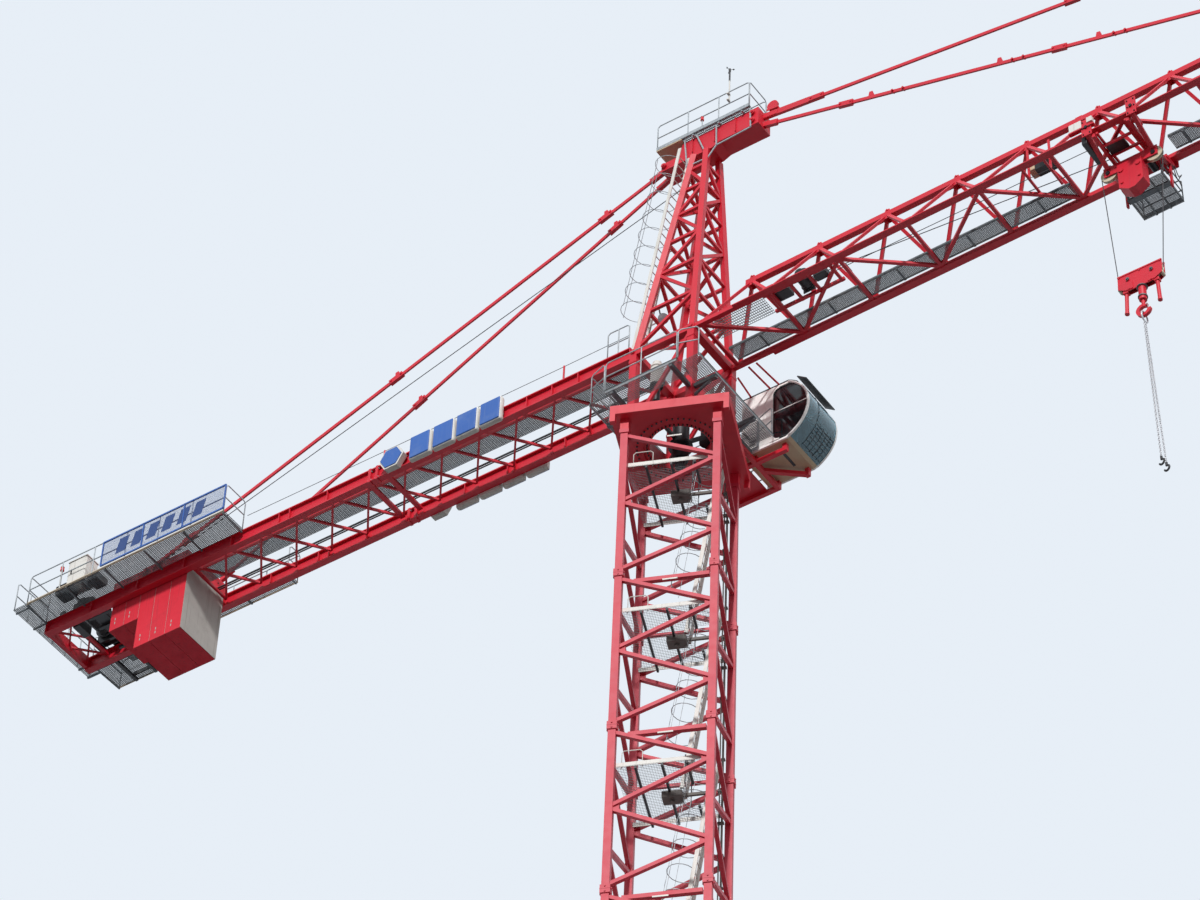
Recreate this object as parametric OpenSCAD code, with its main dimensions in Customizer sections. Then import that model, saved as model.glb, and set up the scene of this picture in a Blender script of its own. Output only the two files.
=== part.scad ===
// Tower crane with a trussed jib, as a half-size model.
// The foot of the mast stands on z = 0, +X runs along the jib and +Y to its far side.

/* [Mast] */
// Distance between the centre lines of two mast legs
leg_spacing = 1200; // [1000:10:1400]
// Side of a square mast leg
leg_size = 95; // [70:1:120]
// Height of one mast section
section_h = 2500; // [2300:10:2700]
// Number of mast sections
section_count = 6; // [3:1:7]
// Width of a mast diagonal
mast_brace = 52; // [36:1:60]
// Height of the bolted collar at a leg splice
collar_h = 120; // [80:1:160]
// How far a collar stands out from its leg
collar_proud = 14; // [8:1:20]
// Turn of the mast under the jib, in degrees
mast_turn = 22.8; // [0:0.1:45]
// Thickness of a platform deck or a grating
deck_t = 20; // [12:1:30]
// How far a mast platform lies below its splice
deck_drop = 600; // [560:10:660]

/* [Base frame] */
// Height of the crossed foot beams
base_h = 300; // [200:10:400]
// Width of a foot beam
base_w = 220; // [180:5:260]
// Distance from the mast axis to an anchor hole
anchor_r = 1200; // [1150:5:1300]
// Radius of an anchor hole
anchor_hole_r = 18; // [10:0.5:26]
// Side of a foot plate
foot_plate = 360; // [300:5:420]
// Thickness of a foot plate
foot_t = 40; // [25:1:60]

/* [Slewing support] */
// Width of the square box frame under the slewing ring
support_w = 1540; // [1500:10:1640]
// Side of the frame's box beams
support_beam = 125; // [90:1:140]
// Height of the stools between the mast legs and the frame
stool_h = 200; // [160:5:240]
// Outer radius of the slewing ring
ring_r = 600; // [560:5:620]
// Width of each of the ring's two races
race_w = 120; // [90:1:140]
// Height of the slewing ring
ring_h = 180; // [140:5:220]
// Running gap between the two races
race_gap = 0.4; // [0.2:0.1:0.6]

/* [Turntable] */
// Height of the turntable's columns
column_h = 1360; // [1300:10:1420]
// Distance between the columns' centre lines
column_spacing = 900; // [880:5:940]
// Side of a turntable column
column_size = 105; // [90:1:120]
// Height of the platform around the turntable above its plate
platform_rise = 270; // [240:5:330]
// Half length of that platform along the jib
platform_x = 860; // [800:10:900]
// Half width of that platform across the jib
platform_y = 960; // [900:10:1000]
// Width of the way around the turntable
platform_way = 330; // [280:5:340]
// Height of a guard rail
rail_h = 520; // [450:5:560]
// Thickness of rails and posts
rail_t = 16; // [12:1:24]

/* [Tower head] */
// Height of the head above the jib's bottom chords
head_h = 3800; // [3300:50:4000]
// Side of a head leg
head_leg = 80; // [60:1:100]
// Width across the head's two sides at its top
head_top_w = 300; // [240:5:400]
// Where the head's rear legs end along the jib
head_top_rear = 190; // [120:5:240]
// Where the head's front legs end along the jib
head_top_front = 400; // [350:5:440]
// Rear end of the head beam, behind the mast axis
beam_rear = 350; // [300:5:500]
// Front end of the head beam
beam_front = 1230; // [1000:10:1300]
// Height of the head beam
beam_h = 380; // [300:5:450]

/* [Jib] */
// Length of one jib panel
panel = 1040; // [960:5:1080]
// Number of jib panels
panel_count = 25; // [20:1:26]
// Distance from the mast axis to the jib's foot
jib_foot = 575; // [570:5:640]
// Upward pitch of the jib, in degrees
jib_pitch = 1.3; // [0:0.1:2]
// Distance between the bottom chords' centre lines
jib_w = 896; // [860:4:940]
// Height from the bottom chords' centre lines to the top chord's
jib_h = 907; // [820:1:980]
// Side of a bottom chord
chord = 66; // [56:1:80]
// Side of the top chord
top_chord = 84; // [76:1:100]
// Width of a jib diagonal
jib_brace = 46; // [34:1:56]
// Thickness of a jib diagonal
brace_t = 36; // [24:1:40]
// Width of the rail that the trolley's wheels run on
trolley_rail = 40; // [34:1:50]
// Panel whose top carries the inner tie
inner_tie_panel = 9; // [6:1:12]
// Panel whose top carries the outer tie
outer_tie_panel = 18; // [15:1:19]
// Depth of a tie bar
tie_d = 55; // [40:1:70]

/* [Counter-jib] */
// Length of the counter-jib from the mast axis
counter_l = 10400; // [9800:50:10800]
// Depth of its two beams
beam_d = 225; // [180:5:280]
// Width of a beam's flange
flange_w = 100; // [70:2:120]
// Thickness of a beam's flange
flange_t = 18; // [10:1:26]
// Thickness of a beam's web
web_t = 14; // [8:1:20]
// Distance from the counter-jib's end to the tie anchors
anchor_in = 1790; // [1200:10:2000]
// Distance from the counter-jib's end to the ballast's tower side
ballast_in = 2470; // [2400:10:2700]
// Thickness of a deep ballast block
deep_t = 272; // [200:2:280]
// Number of deep ballast blocks
deep_count = 3; // [1:1:3]
// How far the deep blocks hang below the beams
deep_drop = 1000; // [700:10:1200]
// Thickness of a shallow ballast block
shallow_t = 255; // [200:2:280]
// Number of shallow ballast blocks
shallow_count = 2; // [1:1:2]
// How far the shallow blocks hang below the beams
shallow_drop = 440; // [300:10:600]

/* [Cab] */
// Rear wall of the cab, in front of the mast axis
cab_x = 290; // [250:5:340]
// Gap between the turntable's platform and the cab
cab_gap = 15; // [8:1:30]
// Length of the cab's floor
cab_l = 685; // [620:5:740]
// Width of the cab
cab_w = 700; // [620:5:760]
// Height of the cab
cab_h = 1060; // [1000:5:1080]
// How far the cab's side panels bulge in front of the floor
cab_bulge = 350; // [260:5:380]
// How far the visor reaches down over the windscreen
visor_drop = 100; // [60:5:200]
// Thickness of the cab's walls
cab_t = 25; // [16:1:35]

/* [Trolley and hook] */
// Distance of the trolley from the mast axis, at rest
trolley_x = 6675; // [5000:5:9000]
// Half the distance between the trolley's two rows of wheels
wheel_x = 315; // [300:5:360]
// Radius of a trolley wheel
wheel_r = 45; // [40:1:50]
// Radius of a rope sheave on the trolley
sheave_r = 115; // [90:1:120]
// Half the distance between the trolley's two sheaves
sheave_x = 317; // [280:1:340]
// Diameter of the hoist rope
rope_d = 12; // [8:0.5:16]
// How far the trolley's sheaves hang below the chords' centre lines
sheave_drop = 360; // [340:5:400]
// How far the hook block's sheaves hang below the trolley's, at rest
hook_drop = 2040; // [1500:10:3000]
// Radius of a sheave in the hook block
block_r = 140; // [110:1:150]
// Half the distance between the hook block's two sheaves
block_x = 162; // [145:1:175]
// How far the hook's bowl hangs below the block's sheaves
hook_reach = 600; // [520:10:700]
// Length of the two-leg chain sling
sling_l = 2500; // [1500:10:2800]

/* [Hidden] */

// Colours
red = [0.72, 0.08, 0.12];
steel = [0.62, 0.64, 0.65];
dark = [0.16, 0.16, 0.18];
white = [0.9, 0.9, 0.88];
cream = [0.85, 0.8, 0.68];
concrete = [0.66, 0.64, 0.62];

// Gap that lets moving faces pass
run_gap = 0.3;
// Gap between pieces that are welded on the real crane and separate solids here
seat_gap = 0.1;
// Radial gap between an axle and its bore
bore_gap = 0.05;

// Mast levels
leg_half = leg_spacing / 2;
leg_face = leg_half - leg_size / 2;
mast_top = base_h + section_count * section_h;
support_z = mast_top + stool_h;
frame_top = support_z + support_beam;
ring_top = support_z + ring_h;

// Turntable levels
turn_gap = 20;
turn_z = ring_top + turn_gap;
turn_plate_t = 40;
column_half = column_spacing / 2;
column_z = turn_z + turn_plate_t;
jib_z = column_z + column_h;
platform_z = column_z + platform_rise;

// Tower head levels
head_z = jib_z + chord / 2;
head_top = head_z + head_h;
beam_w = head_top_w;
anchor_x = counter_l - anchor_in;
ballast_x = counter_l - ballast_in;

// Jib levels
jib_half = jib_w / 2;
jib_end = jib_foot + panel_count * panel;
top_chord_z = jib_z + jib_h;
side_low = jib_z + chord / 2 + seat_gap;
side_high = top_chord_z - top_chord / 2 - seat_gap;
side_head_y = 26;
floor_t = 40;

// Counter-jib levels
counter_z = jib_z - 100;
counter_top = counter_z + beam_d;
counter_root = column_half + column_size / 2;
beam_face = jib_half + flange_w / 2;

// Trolley and hook levels
rope_r = rope_d / 2;
groove_r = rope_r * 1.3;
rope_seat = rope_r - groove_r + run_gap;
rail_plate_t = 16;
wheel_z = jib_z - chord / 2 + rail_plate_t + wheel_r + run_gap;
sheave_z = jib_z - sheave_drop;
hook_x = jib_p(trolley_x, 0, sheave_z)[0];
fall_z = jib_p(trolley_x, 0, sheave_z)[2];
block_z = fall_z - hook_drop;

// Where a point of the level jib lies once the jib is pitched up about its foot.
function jib_p(x, y, z) = [
    jib_foot + (x - jib_foot) * cos(jib_pitch) - (z - jib_z) * sin(jib_pitch), y,
    jib_z + (x - jib_foot) * sin(jib_pitch) + (z - jib_z) * cos(jib_pitch)];

// A point at a distance from one point towards another.
function along(p, q, d) = p + (q - p) * d / norm(q - p);

// Pitches up what is drawn for a level jib.
module on_jib() {
    translate([jib_foot, 0, jib_z]) rotate([0, -jib_pitch, 0])
        translate([-jib_foot, 0, -jib_z]) children();
}

// A square bar from one point to another, with square ends.
module bar(p, q, w, h) {
    d = q - p;
    l = norm(d);
    translate(p)
        rotate([0, acos(d[2] / l), atan2(d[1], d[0])])
            translate([-h / 2, -w / 2, 0]) cube([h, w, l]);
}

// A thin round rod with eight sides from one point to another.
module rod(p, q, r) {
    d = q - p;
    l = norm(d);
    translate(p) rotate([0, acos(d[2] / l), atan2(d[1], d[0])]) cylinder(r = r, h = l, $fn = 8);
}

// A box between two corners.
module block(lo, hi) {
    translate(lo) cube(hi - lo);
}

// A flat bar whose ends are cut upright, drawn in its own plane.
module slant(x0, z0, x1, z1, w) {
    c = w / 2 * norm([x1 - x0, z1 - z0]) / abs(x1 - x0);
    polygon([[x0, z0 - c], [x1, z1 - c], [x1, z1 + c], [x0, z0 + c]]);
}

// One fused zigzag of flat bars between two level lines, drawn in its own plane.
// It starts low, and each bar spans half a pitch.
module zigzag(x0, pitch, count, low, high, w) {
    h = high - low;
    half = pitch / 2;
    run = norm([half, h]);
    c = w / 2 * run / h;
    v = c * h / half;
    lower = [for (i = [0 : 2 * count]) let (x = x0 + i * half)
        for (p = (i % 2 == 0) ? [[x - c, low], [x + c, low]] : [[x, high - v]]) p];
    upper = [for (j = [0 : 2 * count]) let (i = 2 * count - j, x = x0 + i * half)
        for (p = (i % 2 == 1) ? [[x + c, high], [x - c, high]]
            : (i == 0 || i == 2 * count) ? [] : [[x, low + v]]) p];
    polygon(concat(lower, upper));
}

// A guard rail panel in its own plane: posts, two rails and a toe board.
module rail_panel(l, h, posts, toe) {
    gap = (l - rail_t * (posts + 1)) / posts;
    mid = h / 2;
    difference() {
        square([l, h]);
        for (i = [0 : posts - 1]) {
            x = rail_t + i * (gap + rail_t);
            translate([x, toe]) square([gap, mid - rail_t / 2 - toe]);
            translate([x, mid + rail_t / 2]) square([gap, h - mid - 1.5 * rail_t]);
        }
    }
}

// A guard rail along X that stands at a point, facing -Y.
module rail_x(x, y, z, l, posts, toe = 60, h = rail_h) {
    translate([x, y + rail_t / 2, z]) rotate([90, 0, 0])
        linear_extrude(rail_t) rail_panel(l, h, posts, toe);
}

// A guard rail along Y that stands at a point.
module rail_y(x, y, z, l, posts, toe = 60, h = rail_h) {
    translate([x - rail_t / 2, y, z]) rotate([0, 0, 90]) rotate([90, 0, 0])
        linear_extrude(rail_t) rail_panel(l, h, posts, toe);
}

// A ladder in its own plane, from its foot up.
module ladder_2d(w, l, pitch) {
    side = 18;
    rung = 14;
    n = floor(l / pitch);
    difference() {
        translate([-w / 2, 0]) square([w, l]);
        for (i = [0 : n]) {
            z = i * pitch - (pitch - rung);
            top = min(z + pitch - rung, l + 1);
            translate([side - w / 2, z]) square([w - 2 * side, top - z]);
        }
        translate([side - w / 2, n * pitch + rung]) square([w - 2 * side, l]);
    }
}

// Base frame
module base_frame() {
    color(red) rotate([0, 0, mast_turn]) difference() {
        union() {
            for (a = [45, 135]) rotate([0, 0, a])
                translate([-anchor_r + foot_plate / 4, -base_w / 2, 0])
                    cube([2 * anchor_r - foot_plate / 2, base_w, base_h]);
            for (a = [45 : 90 : 315]) rotate([0, 0, a])
                translate([anchor_r - foot_plate / 2, -foot_plate / 2, 0])
                    cube([foot_plate, foot_plate, foot_t]);
        }
        for (a = [45 : 90 : 315]) rotate([0, 0, a])
            translate([anchor_r + foot_plate / 4 - anchor_hole_r, 0, -1])
                cylinder(r = anchor_hole_r, h = foot_t + 2, $fn = 48);
    }
}

// Mast
module mast_leg() {
    translate([-leg_size / 2, -leg_size / 2, base_h])
        cube([leg_size, leg_size, mast_top - base_h]);
    collar = leg_size + 2 * collar_proud;
    for (k = [1 : section_count - 1])
        translate([-collar / 2, -collar / 2, base_h + k * section_h - collar_h / 2])
            cube([collar, collar, collar_h]);
    translate([-collar / 2, -collar / 2, base_h]) cube([collar, collar, collar_h / 2]);
    translate([-collar / 2, -collar / 2, mast_top - collar_h / 2])
        cube([collar, collar, collar_h / 2]);
}

module mast_legs() {
    color(red) rotate([0, 0, mast_turn])
        for (x = [-leg_half, leg_half], y = [-leg_half, leg_half])
            translate([x, y, 0]) mast_leg();
}

// The diagonals of one mast side, drawn in its plane from its left leg.
module mast_side() {
    rise = section_h / 4;
    gap = mast_brace * 0.75;
    splice_gap = collar_h / 2 + mast_brace * 0.75;
    translate([0, mast_brace / 2, 0]) rotate([90, 0, 0]) linear_extrude(mast_brace)
        for (k = [0 : section_count - 1]) {
            z = base_h + k * section_h;
            slant(-leg_face, z + splice_gap, leg_face, z + rise - gap, mast_brace);
            slant(leg_face, z + rise + gap, -leg_face, z + 2 * rise - gap, mast_brace);
            slant(-leg_face, z + 2 * rise + gap, leg_face, z + 3 * rise - gap, mast_brace);
            slant(leg_face, z + 3 * rise + gap, -leg_face, z + section_h - splice_gap, mast_brace);
        }
}

module mast_side_at(turn) {
    color(red) rotate([0, 0, mast_turn + turn]) translate([0, -leg_half, 0]) mast_side();
}

module mast_side_front() {
    mast_side_at(0);
}

module mast_side_back() {
    mast_side_at(180);
}

module mast_side_left() {
    mast_side_at(-90);
}

module mast_side_right() {
    mast_side_at(90);
}

// Platforms inside the mast, one in each section, with a hatch and a toe board in front
deck_x = leg_face + 16;
hatch = [350, 400];
hatch_x = 200;
hatch_y = -150;
ladder_w = 200;
ladder_lean = 400;
ladder_above = 480;

module mast_platforms() {
    toe = [8, 75];
    color(steel) rotate([0, 0, mast_turn])
        for (k = [1 : section_count]) translate([0, 0, base_h + k * section_h - deck_drop]) {
            difference() {
                block([-deck_x, -leg_face, 0], [deck_x, leg_face, deck_t]);
                translate([hatch_x, hatch_y, -1]) cube([hatch[0], hatch[1], deck_t + 2]);
            }
            block([-deck_x, -leg_face, deck_t], [deck_x, toe[0] - leg_face, deck_t + toe[1]]);
        }
}

// A leaning ladder from each platform up through the next hatch
module mast_ladders() {
    l = section_h + ladder_above;
    stile_t = 18;
    color(white) rotate([0, 0, mast_turn])
        for (k = [1 : section_count - 1])
            translate([hatch_x - 3 * stile_t, hatch_y + hatch[1] / 2,
                base_h + k * section_h - deck_drop + deck_t + run_gap])
                intersection() {
                    rotate([0, asin(ladder_lean / l), 0]) rotate([90, 0, 90]) translate([0, -40, 0])
                        linear_extrude(stile_t) ladder_2d(ladder_w, l, 150);
                    block([-ladder_lean, -ladder_w, 0], [2 * ladder_lean, ladder_w, l]);
                }
}

// Fixed part under the slewing ring, with the ring's outer race
module slew_support() {
    half = support_w / 2;
    inner = half - support_beam;
    plate_t = 24;
    color(red) rotate([0, 0, mast_turn]) {
        difference() {
            union() {
                block([-half, -half, support_z - plate_t], [half, half, frame_top]);
                for (x = [-leg_half, leg_half], y = [-leg_half, leg_half])
                    translate([x, y, 0])
                        block([-leg_size / 2 - 8, -leg_size / 2 - 8, mast_top],
                            [leg_size / 2 + 8, leg_size / 2 + 8, support_z]);
                for (x = [-1, 1], y = [-1, 1])
                    block([min(x * half, x * (half - 70)), min(y * half, y * (half - 70)),
                        mast_top + stool_h / 4],
                        [max(x * half, x * (half - 70)), max(y * half, y * (half - 70)), support_z]);
            }
            block([-inner, -inner, support_z], [inner, inner, frame_top + 1]);
            translate([0, 0, support_z - plate_t - 1])
                cylinder(r = ring_r - race_w, h = plate_t + 2, $fn = 96);
        }
        translate([0, 0, support_z]) difference() {
            cylinder(r = ring_r, h = ring_h, $fn = 96);
            translate([0, 0, -1]) cylinder(r = ring_r - race_w, h = ring_h + 2, $fn = 96);
        }
    }
}

// Turntable: inner race, plate, columns, head ring and side bracing
module turntable() {
    out = column_half + column_size / 2;
    in = column_half - column_size / 2;
    race_out = ring_r - race_w - race_gap;
    beam = 100;
    color(red) {
        difference() {
            union() {
                translate([0, 0, support_z + 5])
                    cylinder(r = race_out, h = column_z - support_z - 5, $fn = 96);
                block([-out, -out, turn_z], [out, out, column_z]);
            }
            translate([0, 0, support_z])
                cylinder(r = race_out - race_w * 0.7, h = column_z - support_z + 1, $fn = 96);
        }
        for (x = [-1, 1], y = [-1, 1])
            translate([x * column_half, y * column_half, 0])
                block([-column_size / 2, -column_size / 2, column_z],
                    [column_size / 2, column_size / 2, head_z]);
        for (s = [-1, 1]) {
            block([-in, s * column_half - beam / 2, head_z - beam], [in, s * column_half + beam / 2, head_z]);
            block([s * column_half - beam / 2, -in, head_z - beam], [s * column_half + beam / 2, in, head_z]);
            translate([0, s * column_half + brace_t / 2, 0]) rotate([90, 0, 0]) linear_extrude(brace_t)
                slant(-in, column_z + 60, in, head_z - beam - 30, 60);
            translate([s * column_half - brace_t / 2, 0, 0]) rotate([90, 0, 90]) linear_extrude(brace_t)
                slant(-in, column_z + 60, in, head_z - beam - 30, 60);
        }
    }
}

// Two slewing gear motors that stand on the turntable plate
module slew_motors() {
    r = 85;
    gear_h = 420;
    shaft_h = 760;
    motor_h = 1120;
    color(white) for (s = [-1, 1]) translate([s * 200, s * (column_half - 150), column_z]) {
        cylinder(r = r, h = gear_h, $fn = 40);
        translate([0, 0, gear_h]) cylinder(r = r * 0.6, h = shaft_h - gear_h, $fn = 40);
        translate([0, 0, shaft_h]) cylinder(r = r, h = motor_h - shaft_h, $fn = 40);
        translate([0, 0, motor_h]) cylinder(r = r * 0.7, h = 60, $fn = 40);
    }
}

// Platform around the turntable, with its rails
module platform_outline(x, y) {
    cut = [300, 90];
    polygon([[-x + cut[0], -y], [x - cut[0], -y], [x, -y + cut[1]], [x, y - cut[1]],
        [x - cut[0], y], [-x + cut[0], y], [-x, y - cut[1]], [-x, -y + cut[1]]]);
}

module base_platform() {
    edge = column_half + column_size / 2;
    arm = 70;
    color(steel) {
        translate([0, 0, platform_z]) linear_extrude(deck_t) difference() {
            platform_outline(platform_x, platform_y);
            platform_outline(platform_x - platform_way, platform_y - platform_way);
        }
        for (s = [-1, 1], t = [-1, 1]) {
            block([min(s * edge, s * (platform_x - 20)), t * column_half - arm / 2, platform_z - arm],
                [max(s * edge, s * (platform_x - 20)), t * column_half + arm / 2, platform_z]);
            block([s * column_half - arm / 2, min(t * edge, t * (platform_y - 20)), platform_z - arm],
                [s * column_half + arm / 2, max(t * edge, t * (platform_y - 20)), platform_z]);
        }
        for (s = [-1, 1])
            rail_x(-platform_x + 310, s * (platform_y - rail_t), platform_z + deck_t,
                2 * platform_x - 620, 3);
        rail_y(-platform_x + rail_t, -platform_y + 120, platform_z + deck_t,
            2 * platform_y - 240, 4);
    }
}

// Tower head: four legs that close in to the head beam, tied by level bars and diagonals
head_foot = column_half - 10;
head_levels = [0.2, 0.38, 0.54, 0.68, 0.81, 0.92];
rope_level = 0.92;
head_brace = 44;
function head_x(s, t) = s < 0
    ? -head_foot + (head_top_rear + head_foot) * t
    : head_foot + (head_top_front - head_foot) * t;
function head_y(t) = head_foot + (head_top_w / 2 - head_foot) * t;
function head_p(s, y, t) = [head_x(s, t), y * head_y(t), head_z + head_h * t];

module tower_head() {
    levels = head_levels;
    brace = head_brace;
    color(red) intersection() {
        union() {
            for (s = [-1, 1], y = [-1, 1])
                bar(head_p(s, y, -0.02), head_p(s, y, 1.02), head_leg, head_leg);
            for (t = levels) {
                for (y = [-1, 1]) bar(head_p(-1, y, t), head_p(1, y, t), brace, brace);
                for (s = [-1, 1]) bar(head_p(s, -1, t), head_p(s, 1, t), brace, brace);
            }
            for (i = [0 : len(levels) - 1]) {
                t0 = i == 0 ? 0.02 : levels[i - 1];
                t1 = levels[i];
                for (y = [-1, 1])
                    bar(head_p(i % 2 == 0 ? -1 : 1, y, t0), head_p(i % 2 == 0 ? 1 : -1, y, t1), brace, brace);
                for (s = [-1, 1])
                    bar(head_p(s, i % 2 == 0 ? -1 : 1, t0), head_p(s, i % 2 == 0 ? 1 : -1, t1), brace, brace);
            }
        }
        block([-2000, -2000, head_z], [2000, 2000, head_top]);
    }
}

// Box beam on the head, with a low arm behind for the counter-jib's ties
arm_h = 150;
module head_beam() {
    front_h = beam_h * 0.85;
    pin_r = 34;
    beam_top = head_top + beam_h;
    color(red) difference() {
        translate([0, beam_w / 2, 0]) rotate([90, 0, 0]) linear_extrude(beam_w)
            polygon([[-beam_rear, head_top], [head_top_front + head_leg, head_top],
                [head_top_front + 2.5 * head_leg, beam_top - front_h],
                [beam_front, beam_top - front_h], [beam_front, beam_top], [0, beam_top],
                [-arm_h / 2, head_top + arm_h], [-beam_rear, head_top + arm_h]]);
        translate([beam_front - 90, 0, beam_top - 90]) rotate([90, 0, 0])
            cylinder(r = pin_r, h = beam_w + 2, center = true, $fn = 32);
    }
}

// Deck on the head beam, with its rails
head_deck_y = 215;
head_deck_rear = 400;
head_deck_front = 1130;
module head_platform() {
    z = head_top + beam_h;
    l = head_deck_rear + head_deck_front;
    color(steel) {
        block([-head_deck_rear, -head_deck_y, z], [head_deck_front, head_deck_y, z + deck_t]);
        for (s = [-1, 1])
            rail_x(-head_deck_rear, s * (head_deck_y - rail_t / 2), z + deck_t, l, 3);
        rail_y(head_deck_front - rail_t / 2, rail_t - head_deck_y, z + deck_t, 2 * (head_deck_y - rail_t), 1);
    }
    wind_gauge();
}

// Ladder behind the head's near rear leg, from the counter-jib's grating up
head_ladder_x = -585;
head_ladder_y = -258;
head_ladder_foot = 54;
head_ladder_lean = atan((column_half - 10 + head_ladder_foot + head_top_rear) / head_h);
module head_ladder() {
    z0 = counter_z + beam_d / 2 + 30 + deck_t + run_gap;
    l = head_top - z0;
    w = 220;
    stile_t = 18;
    color(white) {
        intersection() {
            translate([head_ladder_x, head_ladder_y, z0]) rotate([0, head_ladder_lean, 0])
                rotate([90, 0, 90]) translate([0, -40, 0]) linear_extrude(stile_t) ladder_2d(w, l, 150);
            block([-2000, -1000, z0], [2000, 0, head_top]);
        }
        for (t = [for (i = [0 : len(head_levels) - 2]) head_levels[i]]) {
            z = head_z + head_h * t;
            x = head_ladder_x + (z - z0) * tan(head_ladder_lean);
            y = head_ladder_y + w / 2;
            block([x + 4, y - 14, z - 8], [head_x(-1, t) - head_brace / 2 - run_gap, y - 4, z + 8]);
        }
    }
}

// Wind gauge on a short mast
module wind_gauge() {
    z = head_top + beam_h + deck_t;
    color(dark) translate([760, -head_deck_y + 50, z]) {
        cylinder(r = 10, h = 720, $fn = 12);
        translate([0, 0, 720]) cylinder(r = 18, h = 40, $fn = 24);
        for (a = [0, 120, 240]) rotate([0, 0, a]) {
            translate([0, -4, 735]) cube([90, 8, 8]);
            translate([90, 0, 720]) cylinder(r = 22, h = 34, $fn = 24);
        }
    }
}

// Jib
module jib_chords() {
    big = 2 * jib_end;
    foot_x = counter_root + run_gap;
    end_t = 60;
    color(red) intersection() {
        on_jib() {
            for (s = [-1, 1]) {
                y = s * jib_half;
                rail_y = s * (jib_half + chord / 2 + trolley_rail);
                block([0, y - chord / 2, jib_z - chord / 2], [jib_end, y + chord / 2, jib_z + chord / 2]);
                block([jib_foot + panel / 2, min(y, rail_y), jib_z - chord / 2],
                    [jib_end, max(y, rail_y), jib_z - chord / 2 + rail_plate_t]);
            }
            block([jib_end - end_t, -jib_half, jib_z - floor_t / 2],
                [jib_end, jib_half, jib_z + floor_t / 2]);
            block([jib_foot + panel / 2 - top_chord, -top_chord / 2, top_chord_z - top_chord / 2],
                [jib_end - panel / 2 + top_chord, top_chord / 2, top_chord_z + top_chord / 2]);
        }
        block([foot_x, -jib_w, 0], [big, jib_w, big]);
    }
}

// One side of the jib: a zigzag in a leaning plane, cut level at both chords.
module jib_side(s) {
    rise = side_high - side_low;
    run = jib_half - side_head_y;
    tilt = atan2(run, rise);
    slope = norm([rise, run]);
    color(red) on_jib() intersection() {
        translate([0, s * (jib_half + run / rise * brace_t), side_low - brace_t])
            rotate([s * tilt, 0, 0]) translate([0, brace_t / 2, 0]) rotate([90, 0, 0])
                linear_extrude(brace_t)
                    zigzag(jib_foot, panel, panel_count, -10, slope * (1 + 2 * brace_t / rise) + 10,
                        jib_brace);
        block([0, -jib_w, side_low], [jib_end + panel, jib_w, side_high]);
    }
}

module jib_side_near() {
    jib_side(-1);
}

module jib_side_far() {
    jib_side(1);
}

// Cross bars and diagonals between the bottom chords
module jib_floor() {
    inner = jib_half - chord / 2;
    color(red) on_jib() translate([0, 0, jib_z - floor_t / 2]) linear_extrude(floor_t) {
        for (i = [0 : panel_count - 1])
            translate([jib_foot + i * panel - jib_brace / 2, -inner]) square([jib_brace, 2 * inner]);
        for (i = [0 : panel_count - 2]) {
            s = i % 2 == 0 ? 1 : -1;
            x = jib_foot + i * panel;
            slant_floor(x, -s * inner, x + panel, s * inner, jib_brace);
        }
    }
}

// A flat bar whose ends are cut along the jib.
module slant_floor(x0, y0, x1, y1, w) {
    c = w / 2 * norm([x1 - x0, y1 - y0]) / abs(y1 - y0);
    polygon([[x0 - c, y0], [x0 + c, y0], [x1 + c, y1], [x1 - c, y1]]);
}

// Grating along the inside of the far bottom chord
walk_w = 230;
module jib_walkway() {
    z = jib_z + floor_t / 2 + seat_gap;
    y1 = jib_half - chord / 2 - brace_t;
    y0 = y1 - walk_w;
    toe = [10, 30];
    gap = [jib_foot + 5 * panel, jib_foot + 6.3 * panel];
    color(steel) on_jib() for (r = [[jib_foot + 40, gap[0]], [gap[1], jib_end - 80]]) {
        block([r[0], y0, z], [r[1], y1, z + deck_t]);
        block([r[0], y0, z + deck_t], [r[1], y0 + toe[0], z + deck_t + toe[1]]);
    }
}

// Ties from the head beam to the jib's top chord, in lengths that pinned sleeves join
tie_t = 24;
sleeve = [230, 52, 84];
outer_tie_bars = [740, 3980];
inner_tie_bars = [1250, 3380];
counter_tie_bars = [900, 3650];
module tie(p, q, bars) {
    bar(p, q, tie_t, tie_d);
    for (d = [bars[0] : bars[1] : norm(q - p) - 2 * sleeve[0]])
        bar(along(p, q, d), along(p, q, d + sleeve[0]), sleeve[1], sleeve[2]);
}

module jib_tie(z, n, bars) {
    lug = 90;
    lug_t = 60;
    x = jib_foot + (n + 0.5) * panel;
    top = top_chord_z + top_chord / 2;
    start = [beam_front, 0, z];
    tie(start, jib_p(x, 0, top + lug), bars);
    bar(start, along(start, jib_p(x, 0, top + lug), sleeve[0]), sleeve[1], sleeve[2]);
    on_jib() translate([x, lug_t / 2, top]) rotate([90, 0, 0]) linear_extrude(lug_t)
        polygon([[-1.8 * lug, 0], [1.8 * lug, 0], [lug / 2, 1.5 * lug], [-lug / 2, 1.7 * lug]]);
}

module jib_ties() {
    top = head_top + beam_h;
    link_d = 100;
    outer = top - 75;
    color(red) intersection() {
        union() {
            jib_tie(outer, outer_tie_panel, outer_tie_bars);
            jib_tie(top - 245, inner_tie_panel, inner_tie_bars);
            bar([beam_front, 0, outer],
                along([beam_front, 0, outer],
                    jib_p(jib_foot + (outer_tie_panel + 0.5) * panel, 0, top_chord_z + 2 * top_chord),
                    outer_tie_bars[0]),
                sleeve[1] * 0.8, link_d);
        }
        block([beam_front + run_gap, -jib_w, jib_z], [jib_end, jib_w, 2 * jib_z]);
    }
}

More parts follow.
